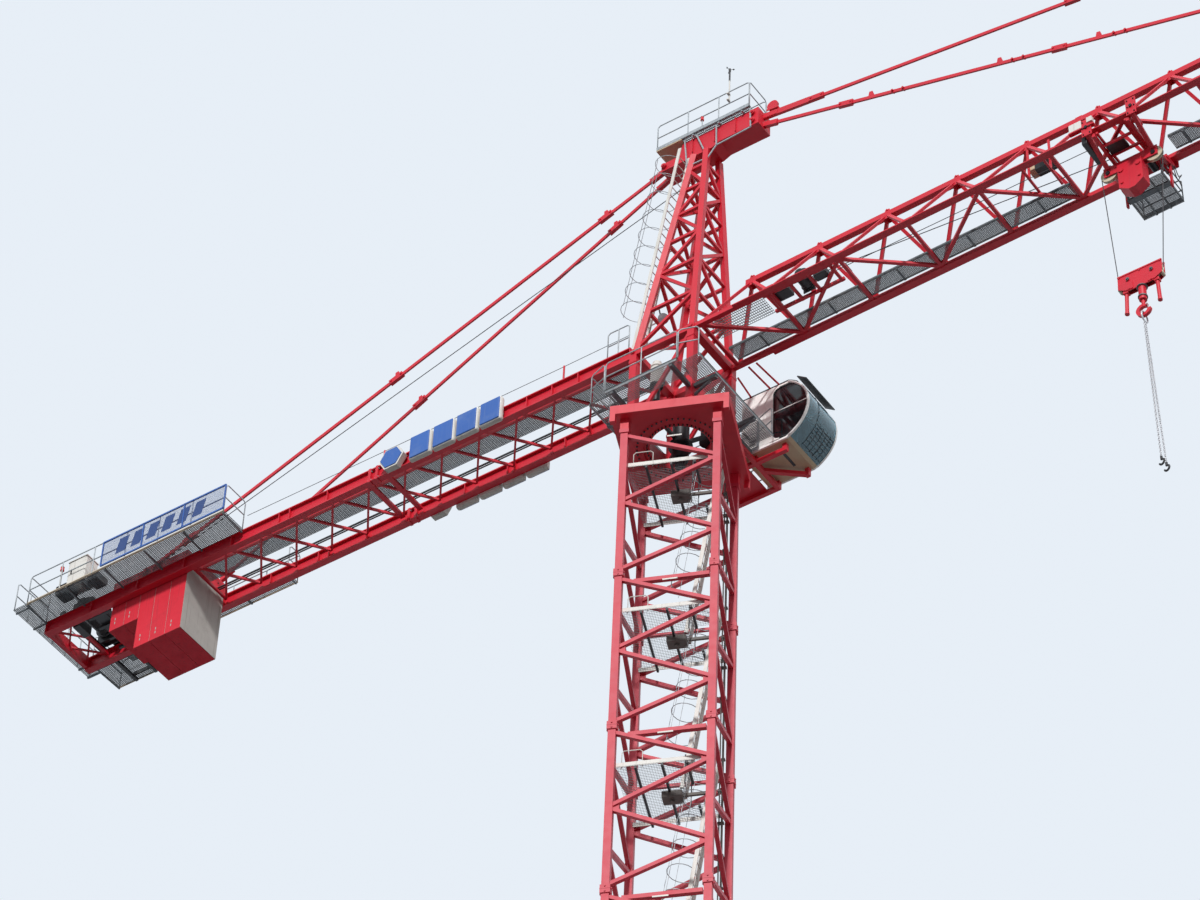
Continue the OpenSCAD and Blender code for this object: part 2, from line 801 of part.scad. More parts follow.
// Winch that pulls the trolley, on the jib's floor
module trolley_winch() {
    x = jib_foot + 1.4 * panel;
    z = jib_z + floor_t / 2 + seat_gap;
    bed_t = 24;
    axis_z = z + 150;
    near_y = -jib_half + 110;
    side_t = 20;
    drum_l = 210;
    color(dark) on_jib() {
        block([x - 400, -jib_half + chord / 2 + 20, z], [x + 180, -40, z + bed_t]);
        translate([x, near_y + side_t, axis_z]) rotate([-90, 0, 0])
            cylinder(r = 110, h = drum_l - side_t, $fn = 40);
        translate([x, near_y - 10, axis_z]) rotate([-90, 0, 0]) cylinder(r = 60, h = drum_l + 70, $fn = 32);
        for (y = [near_y, near_y + drum_l])
            block([x - 90, y, z + bed_t], [x + 90, y + side_t, axis_z + 70]);
    }
}

// Counter-jib
module counter_beam() {
    l = counter_l - counter_root;
    rotate([90, 0, -90]) linear_extrude(l) {
        translate([-flange_w / 2, 0]) square([flange_w, flange_t]);
        translate([-web_t / 2, 0]) square([web_t, beam_d]);
        translate([-flange_w / 2, beam_d - flange_t]) square([flange_w, flange_t]);
    }
}

module counter_jib_beams() {
    stiff_n = 12;
    step = (counter_l - counter_root) / stiff_n;
    color(red) {
        for (s = [-1, 1]) {
            translate([-counter_root, s * jib_half, counter_z]) counter_beam();
            for (i = [0 : stiff_n])
                translate([-counter_root - min(i * step, counter_l - counter_root - 12) - 12,
                    s * jib_half, counter_z])
                    translate([0, -flange_w / 2, flange_t - 1])
                        cube([12, flange_w, beam_d - 2 * flange_t + 2]);
        }
        block([-counter_l, -jib_half, counter_z + flange_t],
            [-counter_l + 60, jib_half, counter_top - flange_t]);
    }
}

// Cross bars and diagonals between the counter-jib's beams
bracing_w = 36;
bracing_bays = 12;
bracing_start = counter_root + 20;
section_joint = [4530, 4830];
module counter_jib_bracing() {
    inner = jib_half - flange_w / 2;
    z = counter_z + beam_d / 2;
    w = bracing_w;
    bay = (ballast_x - bracing_start - 2 * w) / bracing_bays;
    color(red) translate([0, 0, z - w / 2]) linear_extrude(w) {
        for (x = [bracing_start, ballast_x - 2 * w]) translate([-x - w, -inner]) square([w, 2 * inner]);
        for (x = section_joint) translate([-x - w, -inner]) square([2 * w, 2 * inner]);
        for (i = [0 : bracing_bays - 1], s = [-1, 1]) {
            x = -bracing_start - w / 2 - i * bay;
            slant_floor(x, -s * inner, x - bay, s * inner, w * 0.8);
        }
    }
}

// Balconies beside the beams, flush with their tops, with their rails
balcony_w = 440;
balcony_l = 3500;
far_balcony_w = 250;
far_deck = [1150, 640];
module balcony(x0, x1, side, w, posts) {
    z = counter_top - deck_t;
    out = side * (beam_face + w);
    block([x0, min(side * beam_face, out), z], [x1, max(side * beam_face, out), z + deck_t]);
    rail_x(x0, out - side * rail_t / 2, z + deck_t, x1 - x0, posts);
    for (x = [x0 + rail_t / 2, x1 - rail_t / 2])
        rail_y(x, min(side * beam_face, out - side * rail_t), z + deck_t, w - rail_t, 1);
}

// Gratings of the counter-jib: the walk between the beams, balconies, end walk and a rail at the root
module counter_jib_gratings() {
    z = counter_z + beam_d / 2 + 30;
    y0 = -jib_half + flange_w / 2 + 10;
    walk = [-250, 35];
    landing = 680;
    end_w = 230;
    end_in = -counter_l + far_deck[0];
    root_rail = [900, 340];
    color(steel) {
        block([-ballast_x + 60, walk[0], z], [-counter_root - 20, walk[1], z + deck_t]);
        block([-counter_root - landing, y0, z], [-counter_root - 20, walk[0], z + deck_t]);
        balcony(-counter_l, -counter_l + balcony_l, -1, balcony_w, 6);
        balcony(-counter_l, end_in, 1, far_deck[1], 2);
        balcony(end_in, -counter_l + balcony_l, 1, far_balcony_w, 4);
        block([-counter_l - end_w, -beam_face - balcony_w, counter_top - deck_t],
            [-counter_l - run_gap, beam_face + far_balcony_w, counter_top]);
        rail_y(rail_t - counter_l - end_w, -beam_face - balcony_w, counter_top,
            2 * beam_face + balcony_w + far_balcony_w, 6);
        rail_x(-root_rail[0], -jib_half, counter_top, root_rail[1], 1);
    }
}

// Hoist winch at the end of the counter-jib, on two cross beams
winch_x = counter_l - 470;
drum_r = 150;
winch_z = counter_top + 60 + drum_r + 45;
drum_l = 560;
cross_h = 60;
module hoist_winch() {
    cross_x = 180;
    cross_w = 80;
    cheek = [40, 70];
    cheek_y = 290;
    shaft = [60, 720];
    rim = [35, 20, 230];
    foot_z = counter_top + cheek[0] / 2;
    color(dark) {
        for (s = [-1, 1]) {
            x = -winch_x + s * cross_x;
            block([x - cross_w / 2, -beam_face, counter_top],
                [x + cross_w / 2, beam_face, counter_top + cross_h]);
            block([-winch_x - cross_x, s * cheek_y - cheek[0] / 2, foot_z],
                [-winch_x + cross_x, s * cheek_y + cheek[0] / 2, winch_z + cheek[1]]);
        }
        translate([-winch_x, 0, winch_z]) rotate([90, 0, 0]) {
            cylinder(r = drum_r, h = drum_l, center = true, $fn = 48);
            for (s = [-1, 1]) translate([0, 0, s * rim[2]])
                cylinder(r = drum_r + rim[0], h = rim[1], center = true, $fn = 48);
            cylinder(r = shaft[0], h = shaft[1], center = true, $fn = 32);
        }
    }
}

// Switch cabinet on the near balcony
module control_cabinet() {
    x = -counter_l + 450;
    y = -beam_face - balcony_w;
    size = [550, 240, 620];
    color(steel) block([x, y + 60, counter_top], [x + size[0], y + 60 + size[1], counter_top + size[2]]);
}

// Ballast blocks that hang between the beams, with shoulders on the beams' flanges
tie_y = jib_half + 12;
module ballast_block(t, drop) {
    half = jib_half - flange_w / 2 - 8;
    shoulder = jib_half - 22;
    top = counter_top + 200;
    seam = 6;
    rotate([90, 0, 90]) linear_extrude(t - seam)
        polygon([[-half, counter_z - drop], [half, counter_z - drop], [half, counter_top],
            [shoulder, counter_top], [shoulder, top], [-shoulder, top],
            [-shoulder, counter_top], [-half, counter_top]]);
}

module ballast_blocks() {
    color(concrete) {
        for (i = [0 : deep_count - 1])
            translate([-ballast_x - (i + 1) * deep_t, 0, 0]) ballast_block(deep_t, deep_drop);
        for (i = [0 : shallow_count - 1])
            translate([-ballast_x - deep_count * deep_t - (i + 1) * shallow_t, 0, 0])
                ballast_block(shallow_t, shallow_drop);
    }
}

// Ties from the head beam's low arm back to the counter-jib
module counter_jib_ties() {
    lug = [80, 20, 170];
    color(red) for (s = [-1, 1]) {
        start = [-beam_rear, s * 75, head_top + arm_h / 2];
        foot = [-anchor_x, s * tie_y, counter_top + 120];
        intersection() {
            union() {
                tie(start, foot, counter_tie_bars);
                bar(start, along(start, foot, sleeve[0]), sleeve[1], sleeve[2]);
            }
            block([-counter_l, -jib_w, jib_z], [-beam_rear - run_gap, jib_w, 2 * jib_z]);
        }
        block([-anchor_x - lug[0], s * tie_y - lug[1], counter_top],
            [-anchor_x + lug[0], s * tie_y + lug[1], counter_top + lug[2]]);
    }
}

// Plain sign shapes on the outer faces of the two beams: a hexagon and four tiles
sign_x = 4520;
sign_t = 100;
sign_tile = [355, 430];
sign_step = 385;
module sign_boards() {
    z = counter_z - 60;
    r = 205;
    color(white) for (s = [-1, 1]) {
        y = s * (beam_face + sign_t / 2);
        translate([-sign_x + r, y + sign_t / 2, z + sign_tile[1] / 2]) rotate([90, 30, 0])
            cylinder(r = r, h = sign_t, $fn = 6);
        for (i = [0 : 3]) {
            x = -sign_x + 2 * r + 90 + i * sign_step;
            block([x, y - sign_t / 2, z], [x + sign_tile[0], y + sign_t / 2, z + sign_tile[1]]);
        }
    }
}

// Cab
cab_z = platform_z - 10;
cab_y = platform_y + cab_gap;

// Radius of the arc in front of the cab, and how far its centre lies from the rear wall
arc_r = (pow(cab_h / 2, 2) + pow(cab_bulge, 2)) / (2 * cab_bulge);
arc_x = cab_l + cab_bulge - arc_r;
window_x = cab_l * 0.62;
window_frame = 30;

// The outline of a cab side, from the floor's rear corner, with a bulging front edge.
module cab_outline(inset) {
    intersection() {
        translate([inset, inset]) square([cab_l + cab_bulge, cab_h - 2 * inset]);
        union() {
            translate([inset, inset]) square([cab_l * 0.7, cab_h - 2 * inset]);
            translate([arc_x, cab_h / 2]) circle(r = arc_r - inset, $fn = 96);
        }
    }
}

// A level band of a shape drawn in a cab side's plane.
module cab_band(low, high) {
    intersection() {
        children();
        translate([-cab_l, low]) square([4 * cab_l, high - low]);
    }
}

// Stands a shape of a cab side's plane up and gives it a width from one side to the other.
module cab_width(from, w) {
    translate([cab_x, cab_y + from + w, cab_z]) rotate([90, 0, 0]) linear_extrude(w) children();
}

// The opening of a side window, kept clear of its frame by a gap.
module cab_window(gap) {
    intersection() {
        cab_outline(window_frame + gap);
        translate([window_x + gap, 0]) square([2 * cab_l, cab_h]);
    }
}

module cab_sides() {
    color(white) for (y = [0, cab_w - cab_t])
        cab_width(y, cab_t) difference() {
            cab_band(0, cab_h - cab_t - seat_gap) cab_outline(0);
            cab_band(0, cab_h - cab_t - window_frame) cab_window(0);
        }
}

// Floor and rear wall between the cab's sides
module cab_floor() {
    low = cab_t + seat_gap;
    color(cream) cab_width(cab_t + seat_gap, cab_w - 2 * (cab_t + seat_gap)) {
        cab_band(0, cab_t) cab_outline(0);
        translate([0, low]) square([cab_t, cab_h - cab_t - seat_gap - low]);
    }
}

// Roof panel with a dark visor that follows the arc down over the windscreen
module cab_roof() {
    visor_t = 14;
    color(dark) cab_width(0, cab_w) {
        cab_band(cab_h - cab_t, cab_h) cab_outline(0);
        difference() {
            cab_band(cab_h - visor_drop, cab_h)
                translate([arc_x, cab_h / 2]) circle(r = arc_r + visor_t, $fn = 96);
            cab_band(0, cab_h - cab_t) translate([arc_x, cab_h / 2]) circle(r = arc_r + run_gap, $fn = 96);
            translate([-cab_l, 0]) square([2 * cab_l, cab_h]);
        }
    }
}

// Curved windscreen between the sides, and a pane in each side window
module cab_glass() {
    t = 12;
    color([0.45, 0.65, 0.72, 0.6]) {
        cab_width(cab_t + run_gap, cab_w - 2 * (cab_t + run_gap))
            cab_band(cab_t + run_gap, cab_h - cab_t - run_gap) difference() {
                cab_outline(0);
                cab_outline(t);
                square([cab_l * 0.95, cab_h]);
            }
        for (y = [cab_t / 2 - t / 2, cab_w - cab_t / 2 - t / 2])
            cab_width(y, t) cab_band(0, cab_h - cab_t - window_frame - run_gap) cab_window(run_gap);
    }
}

// Arms under the cab, the far one slantwise, and the landing behind it
arm_t = 60;
module cab_support() {
    z = cab_z - 130;
    root = column_half + column_size / 2;
    y = [cab_y + 70, cab_y + cab_w - 90];
    x = [-260, column_half - arm_t / 2, cab_x + cab_l - 40 - arm_t];
    slant_y = y[0] + 200;
    slant_t = arm_t * 0.95;
    landing_in = 60;
    color(red) {
        block([x[1], root, z], [x[1] + arm_t, y[1] + arm_t, z + arm_t]);
        for (i = [1, 2], j = [0, 1]) block([x[i], y[j], z], [x[i] + arm_t, y[j] + arm_t, cab_z]);
        block([x[0], y[0], z], [x[2] + arm_t, y[0] + arm_t, z + arm_t]);
        block([x[0], y[1], z], [column_half, y[1] + arm_t, z + arm_t]);
        bar([column_half, slant_y, z + arm_t / 2], [x[2] + arm_t / 2, y[1] + arm_t / 2, z + arm_t / 2],
            slant_t, slant_t);
        block([x[0], y[0] - landing_in, z + arm_t],
            [cab_x - 10, y[1] + arm_t + 20, z + arm_t + deck_t]);
    }
}

// Hoist rope from the winch's drum to the level bar behind the head
module hoist_rope() {
    end = [head_x(-1, rope_level) - head_brace / 2 - 4, 0, head_z + head_h * rope_level];
    slope = atan2(end[2] - winch_z, end[0] + winch_x);
    r = drum_r + rope_r + run_gap;
    color(dark)
        rod([-winch_x - r * sin(slope), 0, winch_z + r * cos(slope)], end, rope_r);
}

// Trolley: wheel carriers beside both chords, on two cross frames that hang like a V
carrier_y = jib_half + chord / 2 + trolley_rail + 24;
carrier_t = 14;
wheel_axle_r = 14;
sheave_axle_r = 18;
cheek_z = [-sheave_drop - 50, -sheave_drop + 110];
trolley_leg = [26, 40];
module trolley_frame() {
    arm = 56;
    leg_low = -560;
    cheek = [sheave_x + 60, 32, 44];
    color(red) on_jib() translate([trolley_x, 0, jib_z]) {
        for (x = [-wheel_x, wheel_x]) {
            for (s = [-1, 1]) {
                low = s * (carrier_y - carrier_t);
                high = s * carrier_y;
                block([x - 70, min(low, high), -120], [x + 70, max(low, high), 180]);
                block([x - arm / 2, min(s * 300, high), -120], [x + arm / 2, max(s * 300, high), -70]);
                bar([x, s * (carrier_y - 30), -95], [x, s * (cheek[2] + 2), -sheave_drop + 80],
                    arm, arm * 0.8);
                translate([x, s * (carrier_y - carrier_t / 2), wheel_z - jib_z]) rotate([s * 90, 0, 0])
                    cylinder(r = wheel_axle_r, h = trolley_rail + 10, $fn = 32);
            }
            block([x - trolley_leg[0] / 2, jib_half - trolley_leg[1], leg_low],
                [x + trolley_leg[0] / 2, jib_half, -70]);
        }
        for (x = [-sheave_x, sheave_x]) translate([x, 0, -sheave_drop]) rotate([90, 0, 0])
            cylinder(r = sheave_axle_r, h = 2 * cheek[2] + 16, center = true, $fn = 32);
        for (s = [-1, 1])
            block([-cheek[0], min(s * cheek[1], s * cheek[2]), cheek_z[0]],
                [cheek[0], max(s * cheek[1], s * cheek[2]), cheek_z[1]]);
        trolley_anchor();
    }
}

// Six-sided box for the rope's safety catch, under the middle of the trolley
module trolley_anchor() {
    w = 170;
    low = -860;
    top = cheek_z[0] + 60;
    hang = 45;
    depth = 170;
    translate([0, depth / 2, 0]) rotate([90, 0, 0]) linear_extrude(depth)
        polygon([[-w, top], [-w, low + 90], [-hang, low], [hang, low], [w, low + 90], [w, top]]);
}

module trolley_rollers() {
    wheel_w = 32;
    color(cream) on_jib() translate([trolley_x, 0, 0]) {
        for (x = [-sheave_x, sheave_x]) translate([x, 0, sheave_z]) rotate([90, 0, 0])
            sheave(sheave_r, 44, sheave_axle_r + bore_gap);
        for (x = [-wheel_x, wheel_x], s = [-1, 1])
            translate([x, s * (jib_half + chord / 2 + trolley_rail / 2 + 3), wheel_z]) rotate([90, 0, 0])
                difference() {
                    cylinder(r = wheel_r, h = wheel_w, center = true, $fn = 40);
                    cylinder(r = wheel_axle_r + bore_gap, h = wheel_w + 2, center = true, $fn = 32);
                }
    }
}

// A grooved wheel for the rope, about its own axis.
module sheave(r, w, bore) {
    rotate_extrude($fn = 72) difference() {
        translate([bore, -w / 2]) square([r - bore, w]);
        translate([r, 0]) circle(r = groove_r, $fn = 24);
    }
}

// Basket under the far chord, on the trolley's two legs
module trolley_basket() {
    y0 = 225;
    y1 = 800;
    floor_z = jib_z - 480;
    l = 2 * wheel_x - 60;
    outer_h = 420;
    end_h = 330;
    toe = 20;
    inner = wheel_x - trolley_leg[0] / 2 - run_gap;
    color(steel) on_jib() translate([trolley_x, 0, 0]) {
        block([-l / 2, y0, floor_z], [l / 2, y1, floor_z + deck_t]);
        rail_x(-l / 2, y1 - rail_t / 2, floor_z + deck_t, l, 2, toe, outer_h);
        for (s = [-1, 1])
            rail_y(s * (l - rail_t) / 2, y0, floor_z + deck_t, y1 - y0 - rail_t, 2, toe, end_h);
        block([-inner, jib_half - 60, floor_z], [inner, jib_half + 20, floor_z + deck_t]);
    }
}

// Hoist rope falls between the trolley's sheaves and the hook block's
fall_top_x = sheave_x + sheave_r + rope_seat + 3 * run_gap;
fall_low_x = block_x + block_r + rope_seat + run_gap;
module hoist_falls() {
    color(dark) translate([hook_x, 0, 0]) for (s = [-1, 1])
        rod([s * fall_low_x, 0, block_z], [s * fall_top_x, 0, fall_z], rope_r);
}

// Hook block: two cheek plates with their axles, four legs and the housing of the hook's shank
cheek_t = 12;
cheek_y = 34;
housing = [56, 150, 420];
module hook_cheeks() {
    half = block_x + block_r;
    leg = [28, 20, 540];
    color(red) translate([hook_x, 0, block_z]) {
        for (s = [-1, 1])
            translate([0, s * cheek_y + cheek_t / 2, 0]) rotate([90, 0, 0]) linear_extrude(cheek_t)
                polygon([[-half, -60], [-half, 110], [half, 110], [half, -60],
                    [half - 120, -190], [120 - half, -190]]);
        for (x = [-block_x, block_x]) translate([x, 0, 0]) rotate([90, 0, 0])
            cylinder(r = 22, h = 2 * cheek_y + cheek_t + 24, center = true, $fn = 32);
        block([-housing[0], -cheek_y, -190], [housing[0], cheek_y, -housing[1]]);
        translate([0, 0, -housing[2]]) cylinder(r = housing[0] - 6, h = housing[2] - 180, $fn = 40);
        for (x = [-1, 1])
            bar([x * 205, 0, -housing[1]], [x * 225, 0, -leg[2]], leg[1], leg[0]);
        for (x = [-1, 1])
            block([x * 205 - 30, -cheek_y, -190], [x * 205 + 30, cheek_y, -housing[1]]);
    }
}

module hook_sheaves() {
    color(cream) translate([hook_x, 0, block_z]) for (x = [-block_x, block_x])
        translate([x, 0, 0]) rotate([90, 0, 0]) sheave(block_r, 40, 22 + bore_gap);
}

// Hook under the block, with its shank
hook_top = block_z - housing[2];
hook_r = 55;
hook_t = 44;
hook_z = block_z - hook_reach;
module hook() {
    shank = [24, hook_r + 45];
    color(red) translate([hook_x, 0, 0]) {
        translate([0, 0, hook_z + hook_r + 20])
            cylinder(r = shank[0], h = hook_top - run_gap - hook_z - hook_r - 20, $fn = 32);
        translate([0, hook_t / 2, hook_z]) rotate([90, 0, 0]) linear_extrude(hook_t) difference() {
            circle(r = shank[1], $fn = 64);
            circle(r = hook_r, $fn = 48);
            polygon([[0, 0], [200, 0], [200 * cos(54), 200 * sin(54)]]);
        }
    }
}

module sling_chain() {
    ring_r0 = 75;
    bar_r = 11;
    hold = sqrt(pow(ring_r0 - bar_r, 2) - pow(hook_t / 2, 2));
    c = hook_z - hook_r + run_gap - hold;
    chain_w = 18;
    lean = 100;
    color(steel) translate([hook_x, 0, 0]) {
        translate([0, 0, c]) rotate([0, 90, 0]) rotate_extrude($fn = 48)
            translate([ring_r0, 0]) circle(r = bar_r, $fn = 16);
        for (s = [-1, 1])
            bar([0, s * 14, c - ring_r0], [lean, s * 60, c - sling_l], chain_w, chain_w);
    }
}

base_frame();
mast_legs();
mast_side_front();
mast_side_back();
mast_side_left();
mast_side_right();
mast_platforms();
mast_ladders();
slew_support();
turntable();
slew_motors();
base_platform();
tower_head();
head_beam();
head_platform();
head_ladder();
jib_chords();
jib_side_near();
jib_side_far();
jib_floor();
jib_walkway();
jib_ties();
trolley_winch();
counter_jib_beams();
counter_jib_bracing();
counter_jib_gratings();
hoist_winch();
control_cabinet();
ballast_blocks();
counter_jib_ties();
sign_boards();
cab_sides();
cab_floor();
cab_roof();
cab_glass();
cab_support();
hoist_rope();
trolley_frame();
trolley_rollers();
trolley_basket();
hoist_falls();
hook_cheeks();
hook_sheaves();
hook();
sling_chain();
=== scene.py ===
"""Visual model of a half-size tower crane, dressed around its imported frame."""
from __future__ import annotations

import logging
import math
from dataclasses import dataclass
from enum import Enum
from typing import Sequence

import bmesh
import bpy
from mathutils import Matrix, Vector

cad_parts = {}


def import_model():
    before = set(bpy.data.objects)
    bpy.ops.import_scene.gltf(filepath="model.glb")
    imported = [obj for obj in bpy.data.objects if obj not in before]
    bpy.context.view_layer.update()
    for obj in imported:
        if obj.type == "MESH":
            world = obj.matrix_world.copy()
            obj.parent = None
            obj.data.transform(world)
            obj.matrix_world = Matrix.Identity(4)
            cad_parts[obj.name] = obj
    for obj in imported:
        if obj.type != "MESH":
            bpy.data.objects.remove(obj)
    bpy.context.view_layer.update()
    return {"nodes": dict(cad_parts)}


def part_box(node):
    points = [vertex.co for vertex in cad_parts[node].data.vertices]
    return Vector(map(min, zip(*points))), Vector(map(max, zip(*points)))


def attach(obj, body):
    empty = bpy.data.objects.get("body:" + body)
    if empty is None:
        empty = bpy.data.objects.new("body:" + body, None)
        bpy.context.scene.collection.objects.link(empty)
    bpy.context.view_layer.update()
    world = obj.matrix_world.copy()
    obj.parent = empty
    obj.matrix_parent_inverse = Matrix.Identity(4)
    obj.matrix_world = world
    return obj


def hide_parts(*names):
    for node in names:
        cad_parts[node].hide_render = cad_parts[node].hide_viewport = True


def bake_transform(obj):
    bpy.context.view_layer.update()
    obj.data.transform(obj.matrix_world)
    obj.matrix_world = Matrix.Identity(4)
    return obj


log = logging.getLogger("crane")
Point = Sequence[float]

# Sizes shared by the assemblies, in metres, as in the construction
MAST_TURN = math.radians(22.8)
MAST_TOP = 15.3
SECTION = 2.5
SECTIONS = 6
BASE_H = 0.3
LEG_HALF = 0.6
LEG = 0.095
JIB_FOOT = 0.575
JIB_Z = 17.1
JIB_PITCH = math.radians(1.3)
JIB_HALF = 0.448
PANEL = 1.04
PANELS = 25
TOP_Z = 18.007
HEAD_TOP = 20.94
DECK_Z = 21.32
COUNTER_Z = 17.0
COUNTER_TOP = 17.225
COUNTER_L = 10.4
FACE = 0.498
HOOK_X = 6.681597
BLOCK_Z = 14.838485
FALL_Z = 16.878485

MAST = Matrix.Rotation(MAST_TURN, 4, "Z")
JIB = (Matrix.Translation((JIB_FOOT, 0, JIB_Z)) @ Matrix.Rotation(-JIB_PITCH, 4, "Y")
       @ Matrix.Translation((-JIB_FOOT, 0, -JIB_Z)))
LEVEL = Matrix.Identity(4)
# The near and the far side, or the front and the rear, as factors
SIDES = (-1, 1)


class Body(str, Enum):
    """The rigid bodies that pieces ride on."""

    TOWER = "tower"
    SLEWING = "slewing"
    TROLLEY = "trolley"
    BLOCK = "hook_block"
    HOOK = "hook"


# Finishes
def linear(hex_colour: str) -> tuple[float, float, float, float]:
    """Turns a sRGB hex colour to linear light.

    Args:
        hex_colour: Six hex digits after a hash sign.

    Returns:
        The colour's linear red, green and blue, and full opacity.
    """
    parts = [int(hex_colour[i:i + 2], 16) / 255 for i in (1, 3, 5)]
    return (*[c / 12.92 if c <= 0.04045 else ((c + 0.055) / 1.055) ** 2.4 for c in parts], 1.0)


def node(tree: bpy.types.NodeTree, kind: str, settings: dict | None = None,
         **inputs: object) -> bpy.types.Node:
    """Adds a node to a material's tree.

    Args:
        tree: The material's node tree.
        kind: The node's type name after ShaderNode.
        settings: The node's own properties.
        **inputs: Socket values, or sockets to link, by input name with _ for a blank,
            or by number as i0, i1 and so on.

    Returns:
        The new node.
    """
    made = tree.nodes.new("ShaderNode" + kind)
    for name, value in (settings or {}).items():
        setattr(made, name, value)
    for name, value in inputs.items():
        key = int(name[1:]) if name[0] == "i" and name[1:].isdigit() else name.replace("_", " ")
        if isinstance(value, bpy.types.NodeSocket):
            tree.links.new(value, made.inputs[key])
        else:
            made.inputs[key].default_value = value
    return made


@dataclass(frozen=True)
class Finish:
    """A real material with its colours and surface, drawn by nodes.

    The base colour drifts between two tones, dust settles in blotches, and rain leaves
    streaks down the piece. Grain is a bump whose size is in millimetres. The slot is the
    record's material slot that the finish belongs to.
    """

    name: str
    slot: str
    colour: str
    second: str
    rough: float = 0.45
    rough_drift: float = 0.12
    metallic: float = 0.0
    ior: float = 1.5
    drift_mm: float = 900.0
    grain_mm: float = 4.0
    grain: float = 0.15
    dust: str = "#A79C92"
    dust_share: float = 0.25
    streaks: float = 0.3
    coat: float = 0.0
    worn: str = "#6B5A56"
    wear: float = 0.35
    wear_mm: float = 5.0

    def tones(self, tree: bpy.types.NodeTree, where: bpy.types.NodeSocket) -> bpy.types.NodeSocket:
        """Draws the colour of the clean surface.

        Args:
            tree: The material's node tree.
            where: The object coordinates, in metres.

        Returns:
            The colour's socket.
        """
        drift = node(tree, "TexNoise", Vector=where, Scale=1000 / self.drift_mm, Detail=5.0,
                     Roughness=0.6)
        return node(tree, "Mix", {"data_type": "RGBA"}, i0=drift.outputs["Fac"],
                    i6=linear(self.colour), i7=linear(self.second)).outputs[2]

    def dirt(self, tree: bpy.types.NodeTree, where: bpy.types.NodeSocket) -> bpy.types.NodeSocket:
        """Draws where dust and rain streaks lie.

        Args:
            tree: The material's node tree.
            where: The object coordinates, in metres.

        Returns:
            The socket of a share from 0 to 1.
        """
        blotch = node(tree, "TexNoise", Vector=where, Scale=1000 / 260, Detail=8.0, Roughness=0.7)
        patch = node(tree, "MapRange", Value=blotch.outputs["Fac"], From_Min=0.5, From_Max=0.78,
                     To_Max=self.dust_share)
        long = node(tree, "Mapping", Vector=where, Scale=(28.0, 28.0, 0.8))
        run = node(tree, "TexNoise", Vector=long.outputs[0], Scale=1.0, Detail=4.0)
        streak = node(tree, "MapRange", Value=run.outputs["Fac"], From_Min=0.56, From_Max=0.75,
                      To_Max=self.streaks * self.dust_share * 2)
        return node(tree, "Math", {"operation": "MAXIMUM"}, i0=patch.outputs[0],
                    i1=streak.outputs[0]).outputs[0]

    def edges(self, tree: bpy.types.NodeTree, where: bpy.types.NodeSocket) -> bpy.types.NodeSocket:
        """Draws where the coat is rubbed off: patches along the edges.

        Args:
            tree: The material's node tree.
            where: The object coordinates, in metres.

        Returns:
            The socket of a share from 0 to 1.
        """
        soft = node(tree, "Bevel", {"samples": 3}, Radius=self.wear_mm / 1000)
        flat = node(tree, "NewGeometry").outputs["Normal"]
        square = node(tree, "VectorMath", {"operation": "DOT_PRODUCT"}, i0=soft.outputs[0], i1=flat)
        rim = node(tree, "MapRange", Value=square.outputs["Value"], From_Min=0.99, From_Max=0.85,
                   To_Max=self.wear)
        patch = node(tree, "TexNoise", Vector=where, Scale=1000 / 70, Detail=6.0, Roughness=0.7)
        broken = node(tree, "MapRange", Value=patch.outputs["Fac"], From_Min=0.42, From_Max=0.6)
        return node(tree, "Math", {"operation": "MULTIPLY"}, i0=rim.outputs[0],
                    i1=broken.outputs[0]).outputs[0]

    def bump(self, tree: bpy.types.NodeTree, where: bpy.types.NodeSocket) -> bpy.types.NodeSocket:
        """Draws the height of the surface's grain.

        Args:
            tree: The material's node tree.
            where: The object coordinates, in metres.

        Returns:
            The height's socket.
        """
        return node(tree, "TexNoise", Vector=where, Scale=1000 / self.grain_mm,
                    Detail=3.0).outputs["Fac"]

    def make(self) -> bpy.types.Material:
        """Makes the material once and returns it from then on."""
        known = bpy.data.materials.get(self.name)
        if known:
            return known
        made = bpy.data.materials.new(self.name)
        made.use_nodes = True
        tree = made.node_tree
        shader = tree.nodes["Principled BSDF"]
        where = node(tree, "TexCoord").outputs["Object"]
        dirt = self.dirt(tree, where)
        dusty = node(tree, "Mix", {"data_type": "RGBA"}, i0=dirt, i6=self.tones(tree, where),
                     i7=linear(self.dust)).outputs[2]
        colour = dusty
        if self.wear:
            colour = node(tree, "Mix", {"data_type": "RGBA"}, i0=self.edges(tree, where), i6=dusty,
                          i7=linear(self.worn)).outputs[2]
        tree.links.new(colour, shader.inputs["Base Color"])
        gloss = node(tree, "TexNoise", Vector=where, Scale=1000 / 120, Detail=4.0)
        rough = node(tree, "MapRange", Value=gloss.outputs["Fac"], To_Min=self.rough - self.rough_drift,
                     To_Max=self.rough + self.rough_drift)
        dull = node(tree, "Math", {"operation": "MULTIPLY_ADD", "use_clamp": True}, i0=dirt, i1=0.4,
                    i2=rough.outputs[0])
        tree.links.new(dull.outputs[0], shader.inputs["Roughness"])
        relief = node(tree, "Bump", Height=self.bump(tree, where), Strength=self.grain,
                      Distance=self.grain_mm / 4000)
        tree.links.new(relief.outputs[0], shader.inputs["Normal"])
        shader.inputs["Metallic"].default_value = self.metallic
        if self.metallic == 0:
            shader.inputs["IOR"].default_value = self.ior
        shader.inputs["Coat Weight"].default_value = self.coat
        self.extra(tree, shader, where)
        return made

    def extra(self, tree: bpy.types.NodeTree, shader: bpy.types.Node,
              where: bpy.types.NodeSocket) -> None:
        """Adds what only this kind of finish has; the plain finish adds nothing."""


